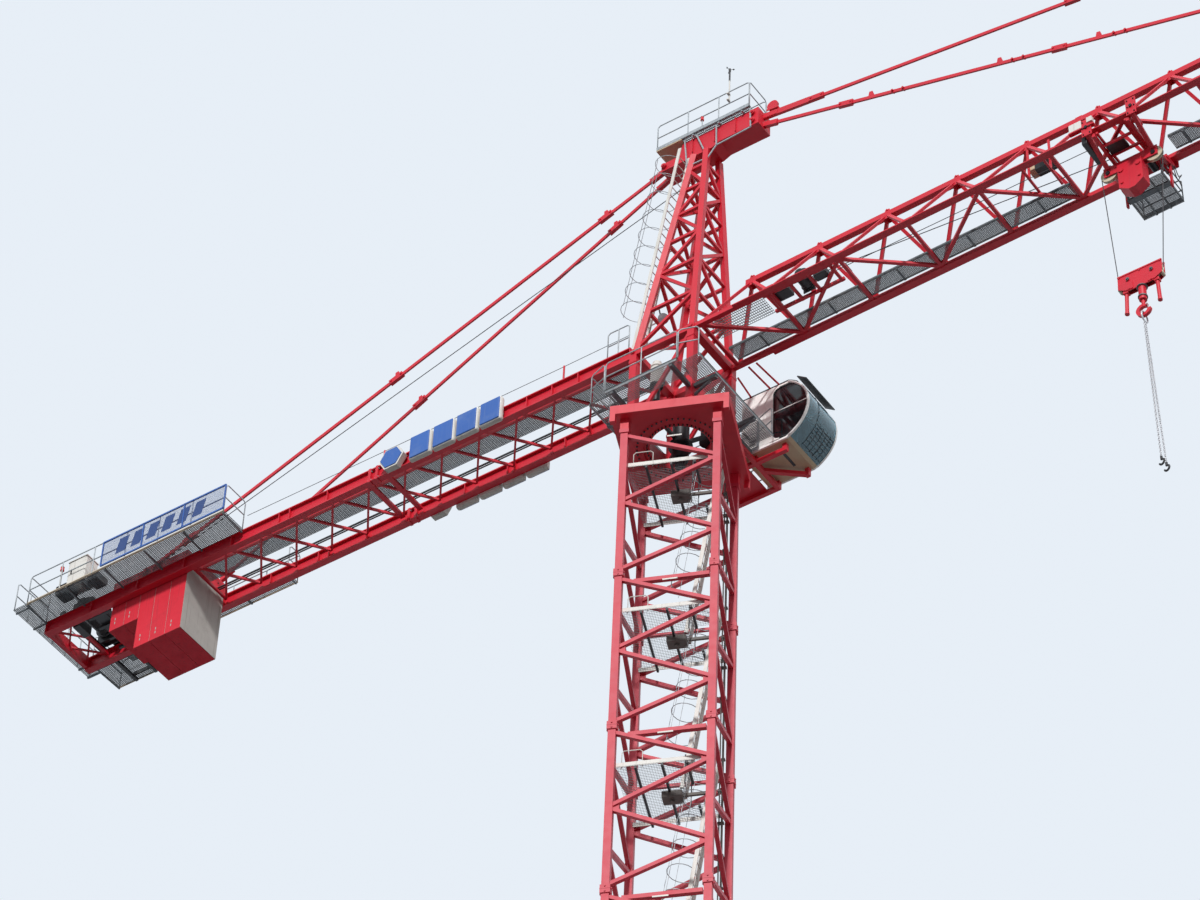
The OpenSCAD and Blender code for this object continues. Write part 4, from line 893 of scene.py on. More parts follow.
@dataclass
class Turntable:
    """The slewing ring, its motors and the platform round the turntable."""

    plate_z: float = 15.74
    platform_z: float = 16.01
    half_x: float = 0.86
    half_y: float = 0.96
    corner_x: float = 0.3
    corner_y: float = 0.1
    way: float = 0.33
    column: float = 0.45
    column_half: float = 0.0525
    motor: tuple[float, float] = (0.2, 0.3)

    def bolts(self) -> None:
        """Puts the bolts on the ring's fixed and turning race."""
        fixed, turning = Work(MAST), Work()
        for at in around(48, 0.56):
            fixed.post(at, 15.462, 15.477, 0.013, 6)
        for at in around(48, 0.43):
            turning.post(at, 15.48, 15.506, 0.011, 6)
        fixed.finish("ring_bolts", Body.TOWER, OILED)
        turning.finish("inner_ring_bolts", Body.SLEWING, OILED)

    def collector(self) -> None:
        """Hangs the cable collector on three arms in the ring's opening."""
        work = Work()
        work.post((0, 0), 15.28, 15.9, 0.11, 24)
        work.post((0, 0), 15.16, 15.28, 0.07, 20)
        work.post((0, 0), 15.5, 15.54, 0.16, 24)
        for near, far in zip(around(3, 0.1, 0.4), around(3, 0.41, 0.4)):
            work.bar((*near, 15.6), (*far, 15.68), 0.04, 0.05)
        work.finish("cable_collector", Body.SLEWING, OILED)

    def motors(self) -> None:
        """Builds the two slewing motors with their gears, fins, flanges and fan covers."""
        work, dark = Work(), Work()
        gearbox = ((0, 0.03, 0.1), (0.03, 0.4, 0.083), (0.4, 0.42, 0.095), (0.42, 0.74, 0.051),
                   (0.74, 0.76, 0.09))
        motor = ((0.76, 1.09, 0.07), (1.09, 1.12, 0.085), (1.12, 1.18, 0.06))
        for s in SIDES:
            x, y, z = s * self.motor[0], s * self.motor[1], self.plate_z
            for body, rings in ((dark, gearbox), (work, motor)):
                for lo, hi, r in rings:
                    body.post((x, y), z + lo, z + hi, r, 32)
            for a, b in around(20, 0.075):
                work.bar((x + a, y + b, z + 0.79), (x + a, y + b, z + 1.08), 0.005, 0.018)
            box = y - s * 0.11
            dark.block((x - 0.045, box - 0.02, z + 0.88), (x + 0.045, box + 0.02, z + 0.98), 0.006)
            for a, b in around(8, 0.09):
                dark.bolt((x + a, y + b, z + 0.03), (0, 0, 1), 0.008)
        work.finish("slew_motor_bodies", Body.SLEWING, WHITE, "slew_motors")
        dark.finish("slew_gearboxes", Body.SLEWING, OILED)

    def platform(self) -> None:
        """Builds the platform round the turntable with rails and toe boards."""
        work, rails = Work(), Work()
        z, x, y, c = self.platform_z, self.half_x, self.half_y, self.column
        top, under = z + 0.02, z - 0.035
        in_x, in_y = x - self.corner_x, y - self.corner_y
        for s in SIDES:
            y0, y1 = sorted((s * y, s * (y - self.way)))
            work.grating((-in_x, y0, z), (in_x, y1, top), 0.024, 13)
            x0, x1 = sorted((s * x, s * (x - self.way)))
            work.grating((x0, -in_y - 0.01, z), (x1, in_y + 0.01, top), 0.024, 13, False)
            for t in SIDES:
                work.bar((s * 0.5, t * c, under), (s * (x - 0.02), t * c, under), 0.05, 0.06)
                work.bar((s * c, t * 0.5, under), (s * c, t * (y - 0.02), under), 0.05, 0.06)
                work.bar((s * 0.5, t * c, z - 0.2), (s * (x - 0.1), t * c, z - 0.05), 0.03, 0.03)
                rails.rail((s * (in_x + 0.01), t * (y - 0.016), top), (s * (x - 0.03), t * in_y, top), 1)
            end = in_x - 0.01
            rails.rail((-end, s * (y - 0.016), top), (end, s * (y - 0.016), top), 2)
            rails.block((-end, s * (y - 0.016), z - 0.02), (end, s * (y - 0.008), top))
            rails.block((s * (x - 0.014), -in_y, z - 0.02), (s * (x - 0.006), in_y, top))
        rails.rail((-x + 0.016, -in_y + 0.02, top), (-x + 0.016, in_y - 0.02, top), 4)
        work.finish("turntable_platform", Body.SLEWING, ZINC_SHADED, "base_platform")
        rails.finish("turntable_rails", Body.SLEWING, ZINC)

    def collars(self) -> None:
        """Puts collars round the columns and the jib's pins through them."""
        work = Work()
        c, grown, pin_half = self.column, self.column_half + 0.006, 0.07
        for x in (-c, c):
            for y in (-c, c):
                for z in (15.78, 16.3, 16.9):
                    work.block((x - grown, y - grown, z), (x + grown, y + grown, z + 0.05))
                work.pin((x, JIB_Z), y + pin_half, y - pin_half, 0.035, 20)
        work.finish("column_collars", Body.SLEWING, RED)

    def build(self, nodes: dict[str, bpy.types.Object]) -> None:
        """Dresses the turntable and builds its detail."""
        dress(nodes, ("turntable",), RED)
        self.bolts()
        self.collector()
        self.motors()
        self.platform()
        self.collars()


@dataclass
class Head:
    """The tower head with its beam, deck, ladder, lamp and wind gauge."""

    deck_y: float = 0.215
    rear: float = 0.4
    front: float = 1.13
    hung_y: float = -0.185
    gauge_x: float = 0.76
    gauge_z: float = DECK_Z + 0.32
    beam_half: float = 0.152
    pulley: tuple[float, float] = (1.37, 21.39)
    ladder_foot: tuple[float, float, float] = (-0.578, -0.258, 17.163)
    ladder_lean: float = math.tan(math.radians(10.2))

    def deck(self) -> None:
        """Builds the deck of plate and grating, its rails, and the frame hung below it."""
        work, plate, mesh = Work(), Work(), Work()
        z, top, side, inset = DECK_Z, DECK_Z + 0.02, self.deck_y, 0.01
        mesh.grating((0.02, -side, z), (self.front, side, top), 0.025, 14, thick=0.0012)
        mesh.finish("head_deck_grating", Body.SLEWING, ZINC_SHADED)
        plate.block((-self.rear, -side, z), (0.015, side, top), 0.002)
        rear, front = inset - self.rear, self.front - inset
        for s in SIDES:
            work.block((-self.rear, s * side, top), (self.front, s * (side - 0.03), top + 0.004))
            work.rail((rear, s * (side - inset), top), (front, s * (side - inset), top), 3)
            work.bar((-self.rear, s * side, z + 0.05), (self.front, s * side, z + 0.05), 0.004, 0.06)
        work.rail((front, -side, top), (front, side, top), 1)
        for x in (0.2, 0.62, 1.0):
            work.bar((x, -side, z - 0.012), (x, side, z - 0.012), 0.03, 0.02)
        y, hung = self.hung_y, ((0.1, 20.73), (0.44, 20.72), (0.575, 20.89), (1.13, 20.92))
        for (x0, z0), (x1, z1) in zip(hung, hung[1:]):
            work.bar((x0, y, z0), (x1, y, z1), 0.012, 0.02)
        for x0, (x1, z1) in zip((0.05, 0.24, 0.57, 1.12), hung):
            work.bar((x0, y, z), (x1, y, z1), 0.012, 0.02)
        work.finish("head_deck", Body.SLEWING, ZINC, "head_platform")
        plate.finish("head_deck_plate", Body.SLEWING, CREAM)

    def gauge(self) -> None:
        """Builds the wind gauge: a post clamped to the rail, with three cups on arms."""
        cups, post = Work(), Work()
        x, y, z = self.gauge_x, 0.05 - self.deck_y, self.gauge_z
        post.post((x, y), z + 0.05, z + 0.71, 0.011, 10)
        for low in (0.06, 0.19):
            post.block((x - 0.015, -self.deck_y, z + low), (x + 0.015, y + 0.01, z + low + 0.02))
        cups.post((x, y), z + 0.5, z + 0.71, 0.013, 10)
        cups.post((x, y), z + 0.7, z + 0.755, 0.017, 16)
        hub, arm, half = Vector((x, y, z + 0.735)), 0.055, 0.008
        for a, b in around(3, 1.0, 0.3):
            cup = hub + Vector((a, b, 0)) * arm
            side = Vector((-b, a, 0)) * half
            cups.tube(hub, cup, 0.003, 6)
            cups.tube(cup - side, cup + side, 0.004, 12, 0.014)
        cups.finish("wind_gauge_cups", Body.SLEWING, BLACK)
        post.finish("wind_gauge_post", Body.SLEWING, WHITE)

    def lamps(self) -> None:
        """Builds the warning lamp on the deck and the floodlight below."""
        lens, case, dark = Work(), Work(), Work()
        at, z = (0.34, 0.02 - self.deck_y), DECK_Z + 0.02
        case.post(at, z, z + 0.2, 0.009, 8)
        lens.post(at, z + 0.2, z + 0.265, 0.026, 20, 0.021)
        case.post(at, z + 0.265, z + 0.272, 0.023, 20)
        hinge, face = (-0.16, -0.3, 17.75), (-0.1, -0.34, 17.68)
        dark.tube(hinge, face, 0.045, 20, 0.075)
        case.tube(face, (-0.093, -0.345, 17.672), 0.073, 20)
        dark.bar(hinge, (-0.2, -0.3, 17.95), 0.015, 0.015)
        lens.finish("warning_lens", Body.SLEWING, RED_LENS)
        case.finish("lamp_cases", Body.SLEWING, ZINC)
        dark.finish("floodlight", Body.SLEWING, BLACK)

    def beam(self) -> None:
        """Adds pins, stiffeners and the front pulley to the head beam."""
        work, pulley = Work(), Work()
        half = self.beam_half
        for s in SIDES:
            for at in ((1.14, 21.23), (1.14, 21.075), (-0.3, 21.015)):
                work.pin(at, s * half, s * (half + 0.03), 0.04, 20)
                work.pin(at, s * (half + 0.028), s * (half + 0.045), 0.024, 6)
            for x in (0.16, 0.52, 0.86):
                work.block((x, s * half, HEAD_TOP + 0.08), (x + 0.012, s * (half + 0.02), 21.3))
            work.block((-0.34, s * 0.075 - 0.02, 20.98), (-0.30, s * 0.075 + 0.02, 21.05))
            pulley.plate([(1.28, 21.3), (1.48, 21.28), (1.42, 21.42), (1.34, 21.43)], s * 0.023, s * 0.033)
        pulley.pin(self.pulley, -0.02, 0.02, 0.085, 32)
        pulley.pin(self.pulley, -0.03, 0.03, 0.03, 20)
        work.finish("head_beam_pins", Body.SLEWING, RED)
        pulley.finish("head_pulley", Body.SLEWING, RED)

    def ladder(self) -> None:
        """Builds the ladder up the rear of the head, its cage and its brackets."""
        rungs, cage = Work(), Work()
        lean, half, stile, r = self.ladder_lean, 0.104, 0.109, 0.206
        foot = Vector(self.ladder_foot)
        rise = HEAD_TOP - 0.005 - foot.z
        head = foot + Vector((rise * lean, 0, rise))
        rungs.ladder(foot, head, (0, half, 0), 0.14)
        for side in (-stile, stile):
            rungs.bar(foot + Vector((0, side, 0)), head + Vector((0, side, 0)), 0.012, 0.05)
        back = Vector((-0.2, 0, 0.03))
        for n in range(9):
            at = foot.lerp(head, 0.26 + 0.0875 * n)
            cage.hoop(at + back, (0.18, 0, 1), at + Vector((-0.02, 0.1, 0)), 0.0045, 1.7 * math.pi, 18, 6)
        for a in (0.62, 1.0, 1.38):
            side = back + Vector((r * math.cos(math.pi * a), r * math.sin(math.pi * a), 0))
            cage.bar(foot.lerp(head, 0.26) + side, foot.lerp(head, 0.96) + side, 0.008, 0.004)
        bracket_y = -0.154
        for t in (0.2, 0.38, 0.54, 0.68, 0.81):
            z = 17.14 + 3.8 * t
            x = foot.x + (z - foot.z) * lean
            rungs.bar((x, bracket_y, z), (0.63 * t - 0.46, bracket_y, z), 0.01, 0.016)
        rungs.finish("head_ladder_rungs", Body.SLEWING, WHITE, "head_ladder")
        cage.finish("head_ladder_cage", Body.SLEWING, ZINC)

    def build(self, nodes: dict[str, bpy.types.Object]) -> None:
        """Dresses the head and builds its detail."""
        dress(nodes, ("tower_head", "head_beam"), RED)
        self.deck()
        self.gauge()
        self.lamps()
        self.beam()
        self.ladder()


@dataclass
class Jib:
    """The trussed jib with its walkway, winch, brackets, ropes and tip."""

    walk_y: tuple[float, float] = (0.149, 0.379)
    floor_z: float = JIB_Z + 0.0201
    end: float = JIB_FOOT + PANEL * PANELS
    winch_x: float = JIB_FOOT + 1.4 * PANEL
    tied: tuple[int, int] = (9, 18)
    chord_half: float = 0.042
    joint_back: float = 0.26
    box_z: float = 17.29

    def walkway(self) -> None:
        """Builds the grating inside the far bottom chord, in two runs."""
        work = Work(JIB)
        (y0, y1), z = self.walk_y, self.floor_z
        for x0, x1 in ((JIB_FOOT + 0.04, JIB_FOOT + 5 * PANEL), (JIB_FOOT + 6.3 * PANEL, self.end - 0.08)):
            work.grating((x0, y0, z), (x1, y1, z + 0.02), 0.02, 13, thick=0.0026)
            work.block((x0, y0, z), (x1, y0 + 0.004, z + 0.05))
            work.block((x0, y1 - 0.004, z), (x1, y1, z + 0.03))
        for n in range(PANELS):
            x = JIB_FOOT + (n + 0.5) * PANEL
            work.bar((x, y0, z - 0.006), (x, y1, z - 0.006), 0.03, 0.012)
        work.finish("jib_grating", Body.SLEWING, ZINC_SHADED, "jib_walkway")

    def brackets(self) -> None:
        """Puts lugs on the top chord, node plates on all chords and sleeves on their joints."""
        work = Work(JIB)
        top = TOP_Z + self.chord_half
        for n in range(PANELS):
            x, foot = JIB_FOOT + (n + 0.5) * PANEL, JIB_FOOT + n * PANEL
            if n not in self.tied:
                work.plate(wedge(x, top, top + 0.075, 0.05, 0.03), -0.008, 0.008)
                work.pin((x, top + 0.05), -0.03, 0.03, 0.012, 8)
            for s in SIDES:
                upper, lower = s * self.chord_half, s * (JIB_HALF - 0.006)
                work.plate(wedge(x, TOP_Z - 0.03, TOP_Z - 0.1, 0.09, 0.05), upper, upper + s * 0.006)
                if n:
                    work.plate(wedge(foot, JIB_Z + 0.035, JIB_Z + 0.1, 0.1, 0.06), lower - 0.004,
                               lower + 0.004)
        for n in range(1, 6):
            x = JIB_FOOT + n * 5 * PANEL - self.joint_back
            for s in SIDES:
                y = s * JIB_HALF
                work.block((x - 0.05, y - 0.036, JIB_Z - 0.036), (x + 0.05, y + 0.036, JIB_Z + 0.036), 0.003)
            if x + PANEL < self.end:
                work.block((x + 0.47, -0.048, TOP_Z - 0.048), (x + 0.57, 0.048, TOP_Z + 0.048), 0.004)
        work.finish("jib_lugs", Body.SLEWING, RED)

    def ropes(self) -> None:
        """Runs the trolley ropes, the hoist rope and the lamp wire along the jib, over rollers."""
        work = Work(JIB)
        x0, rope_r = self.winch_x, 0.005
        work.tube((x0, -0.25, JIB_Z + 0.26), (self.end - 0.2, -0.16, JIB_Z + 0.1), rope_r, 6)
        work.tube((x0, -0.2, JIB_Z + 0.09), (6.3, -0.2, JIB_Z + 0.03), rope_r, 6)
        work.tube((0.9, 0.03, JIB_Z + 0.62), (6.36, 0.03, JIB_Z - 0.03), 0.006, 6)
        work.tube((x0 + 0.2, 0.1, JIB_Z + 0.7), (self.end - 0.5, 0.1, JIB_Z + 0.7), 0.004, 6)
        for n in range(2, PANELS - 1, 4):
            work.pin((JIB_FOOT + n * PANEL, JIB_Z + 0.05), -0.26, -0.1, 0.016, 10)
        work.finish("jib_ropes", Body.SLEWING, ROPE)

    def winch(self) -> None:
        """Builds the trolley winch: drum with rope turns, motor, gearbox and bed."""
        drum, case, red, zinc = Work(JIB), Work(JIB), Work(JIB), Work(JIB)
        x, z, y = self.winch_x, self.floor_z + 0.15, 0.11 - JIB_HALF
        low, bed = self.floor_z, self.floor_z + 0.024
        drum.pin((x, z), y + 0.02, y + 0.21, 0.085, 32)
        for n in range(13):
            at = y + 0.035 + 0.0125 * n
            drum.hoop((x, at, z), (0, 1, 0), (x + 0.09, at, z), 0.006, math.tau, 24, 5)
        for at in (y + 0.012, y + 0.2):
            drum.pin((x, z), at, at + 0.012, 0.11, 32)
        for cheek, end in ((y, y - 0.045), (y + 0.23, y + 0.275)):
            case.pin((x, z), cheek, end, 0.058, 24)
        for y0, y1 in ((y, y + 0.012), (y + 0.215, y + 0.23)):
            case.block((x - 0.09, y0, bed), (x + 0.09, y1, z + 0.06), 0.003)
        for at in (0.06 - JIB_HALF, -0.08):
            red.block((x - 0.55, at, low), (x + 0.5, at + 0.04, low + 0.04))
        for at in (x - 0.5, x - 0.16, x + 0.12, x + 0.44):
            red.block((at, 0.06 - JIB_HALF, low - 0.004), (at + 0.04, -0.04, bed))
        case.block((x - 0.42, y + 0.02, bed), (x - 0.2, y + 0.18, low + 0.17), 0.01)
        case.block((x + 0.17, y + 0.03, bed), (x + 0.36, y + 0.15, low + 0.12), 0.01)
        zinc.grating((JIB_FOOT + 0.06, -0.38, low), (x - 0.56, -0.06, low + 0.02), 0.03, 9)
        zinc.finish("winch_grating", Body.SLEWING, ZINC_SHADED)
        drum.finish("trolley_winch_drum", Body.SLEWING, ROPE, "trolley_winch")
        case.finish("trolley_winch_cheeks", Body.SLEWING, OILED)
        red.finish("trolley_winch_bed", Body.SLEWING, RED)

    def boxes(self) -> None:
        """Puts the small service box, its posts and the stop at the jib's end."""
        work, red, dark = Work(JIB), Work(JIB), Work(JIB)
        z, stop = self.box_z, self.end - 0.14
        work.block((5.33, -0.18, z + 0.02), (5.42, -0.02, z + 0.15), 0.008)
        dark.block((5.42, -0.17, z), (5.68, -0.03, z + 0.14), 0.006)
        for x in (5.4, 5.6):
            dark.post((x, -0.1), z + 0.13, z + 0.18, 0.012, 10)
        for x in (5.33, 5.64):
            red.block((x, -0.20, JIB_Z + 0.02), (x + 0.03, -0.18, JIB_Z + 0.6))
            red.block((x, -0.40, JIB_Z + 0.02), (x + 0.03, 0.1, JIB_Z + 0.05))
        red.block((stop, -0.4, JIB_Z - 0.02), (stop + 0.04, 0.4, JIB_Z + 0.16))
        red.pin((stop - 0.1, JIB_Z + 0.1), -0.2, 0.2, 0.02, 12)
        work.finish("jib_service_box", Body.SLEWING, CREAM)
        dark.finish("service_box_base", Body.SLEWING, OILED)
        red.finish("jib_posts", Body.SLEWING, RED)

    def ties(self) -> None:
        """Adds pins and the small upright plates on the ties."""
        work = Work()
        inner, outer = self.tied
        for z, n, joints in ((21.245, outer, (0.74, 4.72, 8.7, 12.6)),
                             (21.075, inner, (1.25, 2.1, 4.0, 5.55, 4.63, 8.01))):
            foot = JIB @ Vector((JIB_FOOT + (n + 0.5) * PANEL, 0, TOP_Z + 0.138))
            start = Vector((1.23, 0, z))
            way = (foot - start).normalized()
            for d in joints:
                for off in (0.03, 0.2):
                    c = start + way * (d + off)
                    work.pin((c.x, c.z), -0.035, 0.035, 0.017, 12)
            for d in (1.78, 3.83, 5.35, 7.0) if n == inner else ():
                at = start + way * d
                work.plate([(at.x - 0.05, at.z + 0.02), (at.x + 0.05, at.z), (at.x + 0.02, at.z + 0.11),
                            (at.x - 0.03, at.z + 0.12)], -0.006, 0.006)
        work.finish("tie_pins", Body.SLEWING, RED)

    def build(self, nodes: dict[str, bpy.types.Object]) -> None:
        """Dresses the jib and builds its detail."""
        dress(nodes, ("jib_chords", "jib_side_near", "jib_side_far", "jib_floor", "jib_ties"), RED)
        self.walkway()
        self.brackets()
        self.ropes()
        self.winch()
        self.boxes()
        self.ties()


@dataclass
class CounterJib:
    """The counter-jib with its gratings, winch, ballast and boards."""

    grating_z: float = 17.1425
    near_w: float = 0.44
    far_w: float = 0.25
    wide_w: float = 0.64
    wide_x: float = -9.25
    balcony_x: float = -6.9
    end_w: float = 0.23
    walk_start: float = -0.5225
    walk_end: float = -7.87
    inset: float = 0.01
    joint_x: float = -4.68
    line_z: float = 17.15
    winch_x: float = -9.93
    winch_z: float = 17.48
    drum_half: float = 0.22
    ballast_x: float = -7.93
    ballast_half: float = 0.39
    deep_z: float = COUNTER_Z - 1.0
    shallow_z: float = 16.56
    cabinet_x: tuple[float, float] = (-9.74, -9.42)
    sign_z: tuple[float, float] = (16.94, 17.37)
    banner_x: tuple[float, float] = (-9.07, -6.91)

    def gratings(self) -> None:
        """Builds the walk between the beams, the balconies and their rails."""
        work, rails, toe, dark = Work(), Work(), Work(), Work()
        low, z, inset, start = self.grating_z, COUNTER_TOP, self.inset, self.walk_start
        work.grating((self.walk_end, -0.25, low), (start, 0.035, low + 0.02), 0.024, 13, thick=0.0042)
        work.grating((start - 0.66, -0.388, low), (start, -0.25, low + 0.02), 0.024, 7, thick=0.0042)
        for x0, x1, side, w, bays in ((-COUNTER_L, self.balcony_x, -1, self.near_w, 6),
                                      (-COUNTER_L, self.wide_x, 1, self.wide_w, 2),
                                      (self.wide_x, self.balcony_x, 1, self.far_w, 4)):
            y0, y1 = sorted((side * FACE, side * (FACE + w)))
            work.grating((x0, y0, z - 0.02), (x1, y1, z), 0.026, int(w / 0.022), thick=0.0028)
            out = side * (FACE + w - inset)
            rails.rail((x0 + inset, out, z), (x1 - inset, out, z), bays)
            for x in (x0 + inset, x1 - inset):
                rails.rail((x, side * (FACE + inset), z), (x, out, z), 1)
            toe.block((x0, out, z - 0.02), (x1, out + side * 0.004, z + 0.022))
            bays = max(int((x1 - x0) / 0.6), 1)
            for n in range(bays + 1):
                x = x0 + 0.02 + (x1 - x0 - 0.04) * n / bays
                dark.bar((x, side * FACE, z - 0.05), (x, out, z - 0.03), 0.022, 0.022)
        near, far, end = -FACE - self.near_w, FACE + self.far_w, -COUNTER_L - self.end_w
        work.grating((end, near, z - 0.02), (-COUNTER_L - 0.001, far, z), 0.024, 11, False, 0.0022)
        rails.rail((end + inset, near + inset, z), (end + inset, far - inset, z), 6)
        rails.rail((-0.90, -JIB_HALF, z), (-0.56, -JIB_HALF, z), 2)
        for y in (-0.88, -0.5, 0.5, 0.7):
            dark.bar((-COUNTER_L, y, z - 0.04), (end + inset, y, z - 0.04), 0.022, 0.022)
        work.finish("counter_gratings", Body.SLEWING, ZINC_SHADED, "counter_jib_gratings")
        rails.finish("counter_rails", Body.SLEWING, ZINC)
        toe.finish("counter_toe_boards", Body.SLEWING, CREAM, slot="white_enamel")
        # The brackets under the balconies take the dark zinc as painted shade
        dark.finish("counter_brackets", Body.SLEWING, ZINC_SHADED)

    def beams(self) -> None:
        """Adds the section joint, the end lattice and the long lines of the counter-jib."""
        work, bolts, wire = Work(), Work(), Work()
        low, top, near = COUNTER_Z, COUNTER_TOP, -JIB_HALF
        for s in SIDES:
            y = s * JIB_HALF
            for x in (self.joint_x + 0.06, self.joint_x - 0.06):
                work.block((x - 0.02, y - 0.052, low - 0.012), (x + 0.02, y + 0.052, top + 0.012))
                for t in SIDES:
                    for z in (low + 0.035, low + 0.19):
                        bolts.tube((x - 0.03, y + t * 0.032, z), (x + 0.03, y + t * 0.032, z), 0.013, 8)
            for x in (-1.75, -3.1, -6.1):
                work.block((x - 0.006, y - 0.05, low + 0.018), (x + 0.006, y + 0.05, top - 0.018))
        posts = (-1.6, -4.55)
        for x in posts:
            work.post((x, near), top, top + 0.3, 0.014, 8)
            work.block((x - 0.03, near - 0.03, top), (x + 0.03, near + 0.03, top + 0.02))
        mid, lattice, half = low + 0.1125, -10.0, 0.4
        work.block((self.walk_end, -0.275, mid - 0.01), (-0.53, -0.255, mid + 0.05))
        work.block((lattice - 0.02, -half, mid - 0.02), (lattice + 0.02, half, mid + 0.02))
        for y0, y1 in ((-half, 0.0), (0.0, -half), (0.0, half), (half, 0.0)):
            work.bar((lattice, y0, mid), (lattice - 0.37, y1, mid), 0.026, 0.026)
        wire.line([(-0.55, near, top + 0.3)] + [(x, near, top + 0.29) for x in posts]
                  + [(self.balcony_x, near, top + 0.3)], 0.004)
        for y, r in ((0.19, 0.014), (0.225, 0.01)):
            wire.tube((-7.9, y, self.line_z), (-0.53, y, self.line_z), r, 8)
        work.finish("counter_splices", Body.SLEWING, RED)
        bolts.finish("counter_bolts", Body.SLEWING, ZINC, slot="dark_steel")
        wire.finish("counter_lines", Body.SLEWING, ROPE)

    def hoist(self) -> None:
        """Builds the hoist winch: drum with rope turns, flanges, bearings and frame."""
        drum, steel = Work(), Work()
        x, z, top, end = self.winch_x, self.winch_z, COUNTER_TOP, self.drum_half
        drum.pin((x, z), -end, end, 0.142, 48)
        for n in range(36):
            y = -0.213 + 0.0122 * n
            drum.hoop((x, y, z), (0, 1, 0), (x + 0.146, y, z), 0.006, math.tau, 32, 5)
        for s in SIDES:
            y, foot = s * 0.29, x + s * 0.18
            drum.pin((x, z), s * end, s * (end + 0.02), 0.185, 48)
            steel.block((x - 0.18, y - 0.02, top + 0.02), (x + 0.18, y + 0.02, z + 0.07), 0.006)
            steel.block((foot - 0.04, -FACE, top), (foot + 0.04, FACE, top + 0.06), 0.004)
            steel.pin((x, z), s * 0.27, s * 0.36, 0.06, 28)
            steel.pin((x, z), s * 0.31, s * 0.335, 0.1, 28)
            for a, b in around(8, 0.085):
                steel.bolt((x + a, s * 0.335, z + b), (0, s, 0), 0.009)
        steel.pin((x, z - 0.02), -0.27, -0.24, 0.15, 36)
        drum.finish("hoist_drum", Body.SLEWING, ROPE, "hoist_winch")
        steel.finish("hoist_frame", Body.SLEWING, OILED)

    def rope(self) -> None:
        """Draws the hoist rope from the drum to the head as a round rope, with its end roller."""
        lo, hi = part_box("hoist_rope")
        work = Work()
        work.tube((lo.x + 0.002, 0, lo.z + 0.006), (hi.x - 0.002, 0, hi.z - 0.006), 0.006, 10)
        work.pin((hi.x - 0.03, hi.z - 0.012), -0.03, 0.03, 0.02, 12)
        work.finish("hoist_line", Body.SLEWING, ROPE, "hoist_rope")

    def ballast(self, nodes: dict[str, bpy.types.Object]) -> None:
        """Paints the ballast red and leaves its tower end bare; adds seams, eyes and rods."""
        dress(nodes, ("ballast_blocks",), RED_CONCRETE)
        bare, eyes, seam = Work(), Work(), Work()
        half, top, x = self.ballast_half, COUNTER_TOP, self.ballast_x
        bare.block((x - 0.0002, -half, self.deep_z), (x + 0.0028, half, top), 0.001)
        for s in SIDES:
            eyes.tube((x + 0.01, s * 0.25, top + 0.1), (self.wide_x, s * 0.25, top + 0.1), 0.008, 8)
        for low, thick in [(self.deep_z, 0.272)] * 3 + [(self.shallow_z, 0.255)] * 2:
            mid = x - thick / 2
            for s in SIDES:
                y, eye = s * half, Vector((mid, s * 0.2, top + 0.2))
                eyes.hoop(eye, (1, 0, 0), eye + Vector((0, 0.035, 0)), 0.007, math.pi, 10, 6)
                seam.block((x - 0.004, y, low + 0.01), (x - 0.001, y + s * 0.001, 16.99))
                for mark in (low + 0.1, low + 0.17):
                    seam.block((mid - 0.05, y, mark), (mid - 0.035, y + s * 0.002, mark + 0.045))
            x -= thick
        bare.finish("ballast_bare_end", Body.SLEWING, CONCRETE)
        seam.finish("ballast_seams", Body.SLEWING, CONCRETE)
        eyes.finish("ballast_eyes", Body.SLEWING, OILED)

    def cabinet(self) -> None:
        """Builds the switch cabinet with door, roof and handle on its feet, between two boxes."""
        work, dark = Work(), Work()
        (x0, x1), y, z = self.cabinet_x, -FACE - self.near_w + 0.06, COUNTER_TOP
        work.block((x0, y, z + 0.06), (x1, y + 0.24, z + 0.5), 0.008)
        work.block((x0 + 0.02, y - 0.006, z + 0.08), (x1 - 0.02, y + 0.002, z + 0.48), 0.003)
        work.block((x0 - 0.01, y - 0.01, z + 0.49), (x1 + 0.01, y + 0.25, z + 0.51), 0.003)
        dark.block((x0 + 0.06, y - 0.016, z + 0.25), (x0 + 0.08, y - 0.004, z + 0.33), 0.002)
        for foot in (x0 + 0.02, x1 - 0.06):
            dark.block((foot, y + 0.02, z), (foot + 0.04, y + 0.2, z + 0.06))
        dark.block((x0 - 0.21, y + 0.02, z), (x0 - 0.02, y + 0.22, z + 0.16), 0.008)
        dark.block((x1 + 0.04, y + 0.02, z), (x1 + 0.22, y + 0.26, z + 0.12), 0.008)
        work.finish("switch_cabinet", Body.SLEWING, WHITE, "control_cabinet", slot="galvanised_grating")
        dark.finish("switch_handles", Body.SLEWING, OILED)

    def signs(self, white: Work, blue: Work) -> None:
        """Builds the plain sign shapes, white bodies with blue fronts.

        Args:
            white: The bench for the bodies.
            blue: The bench for the fronts.
        """
        x, z, r = -4.315, 17.155, 0.205
        body, tile = [[(x + a, z + b) for a, b in around(6, r * k)] for k in (1.0, 0.86)]
        low, high = self.sign_z
        for s in SIDES:
            back, front, face = s * FACE, s * (FACE + 0.088), s * (FACE + 0.1)
            white.plate(body, back, front)
            blue.plate(tile, front, face)
            for n in range(4):
                x = -4.02 + 0.385 * n
                white.block((x, back, low), (x + 0.355, front, high), 0.03)
                blue.block((x + 0.02, front - s * 0.01, low + 0.02), (x + 0.335, face, high - 0.02), 0.02)

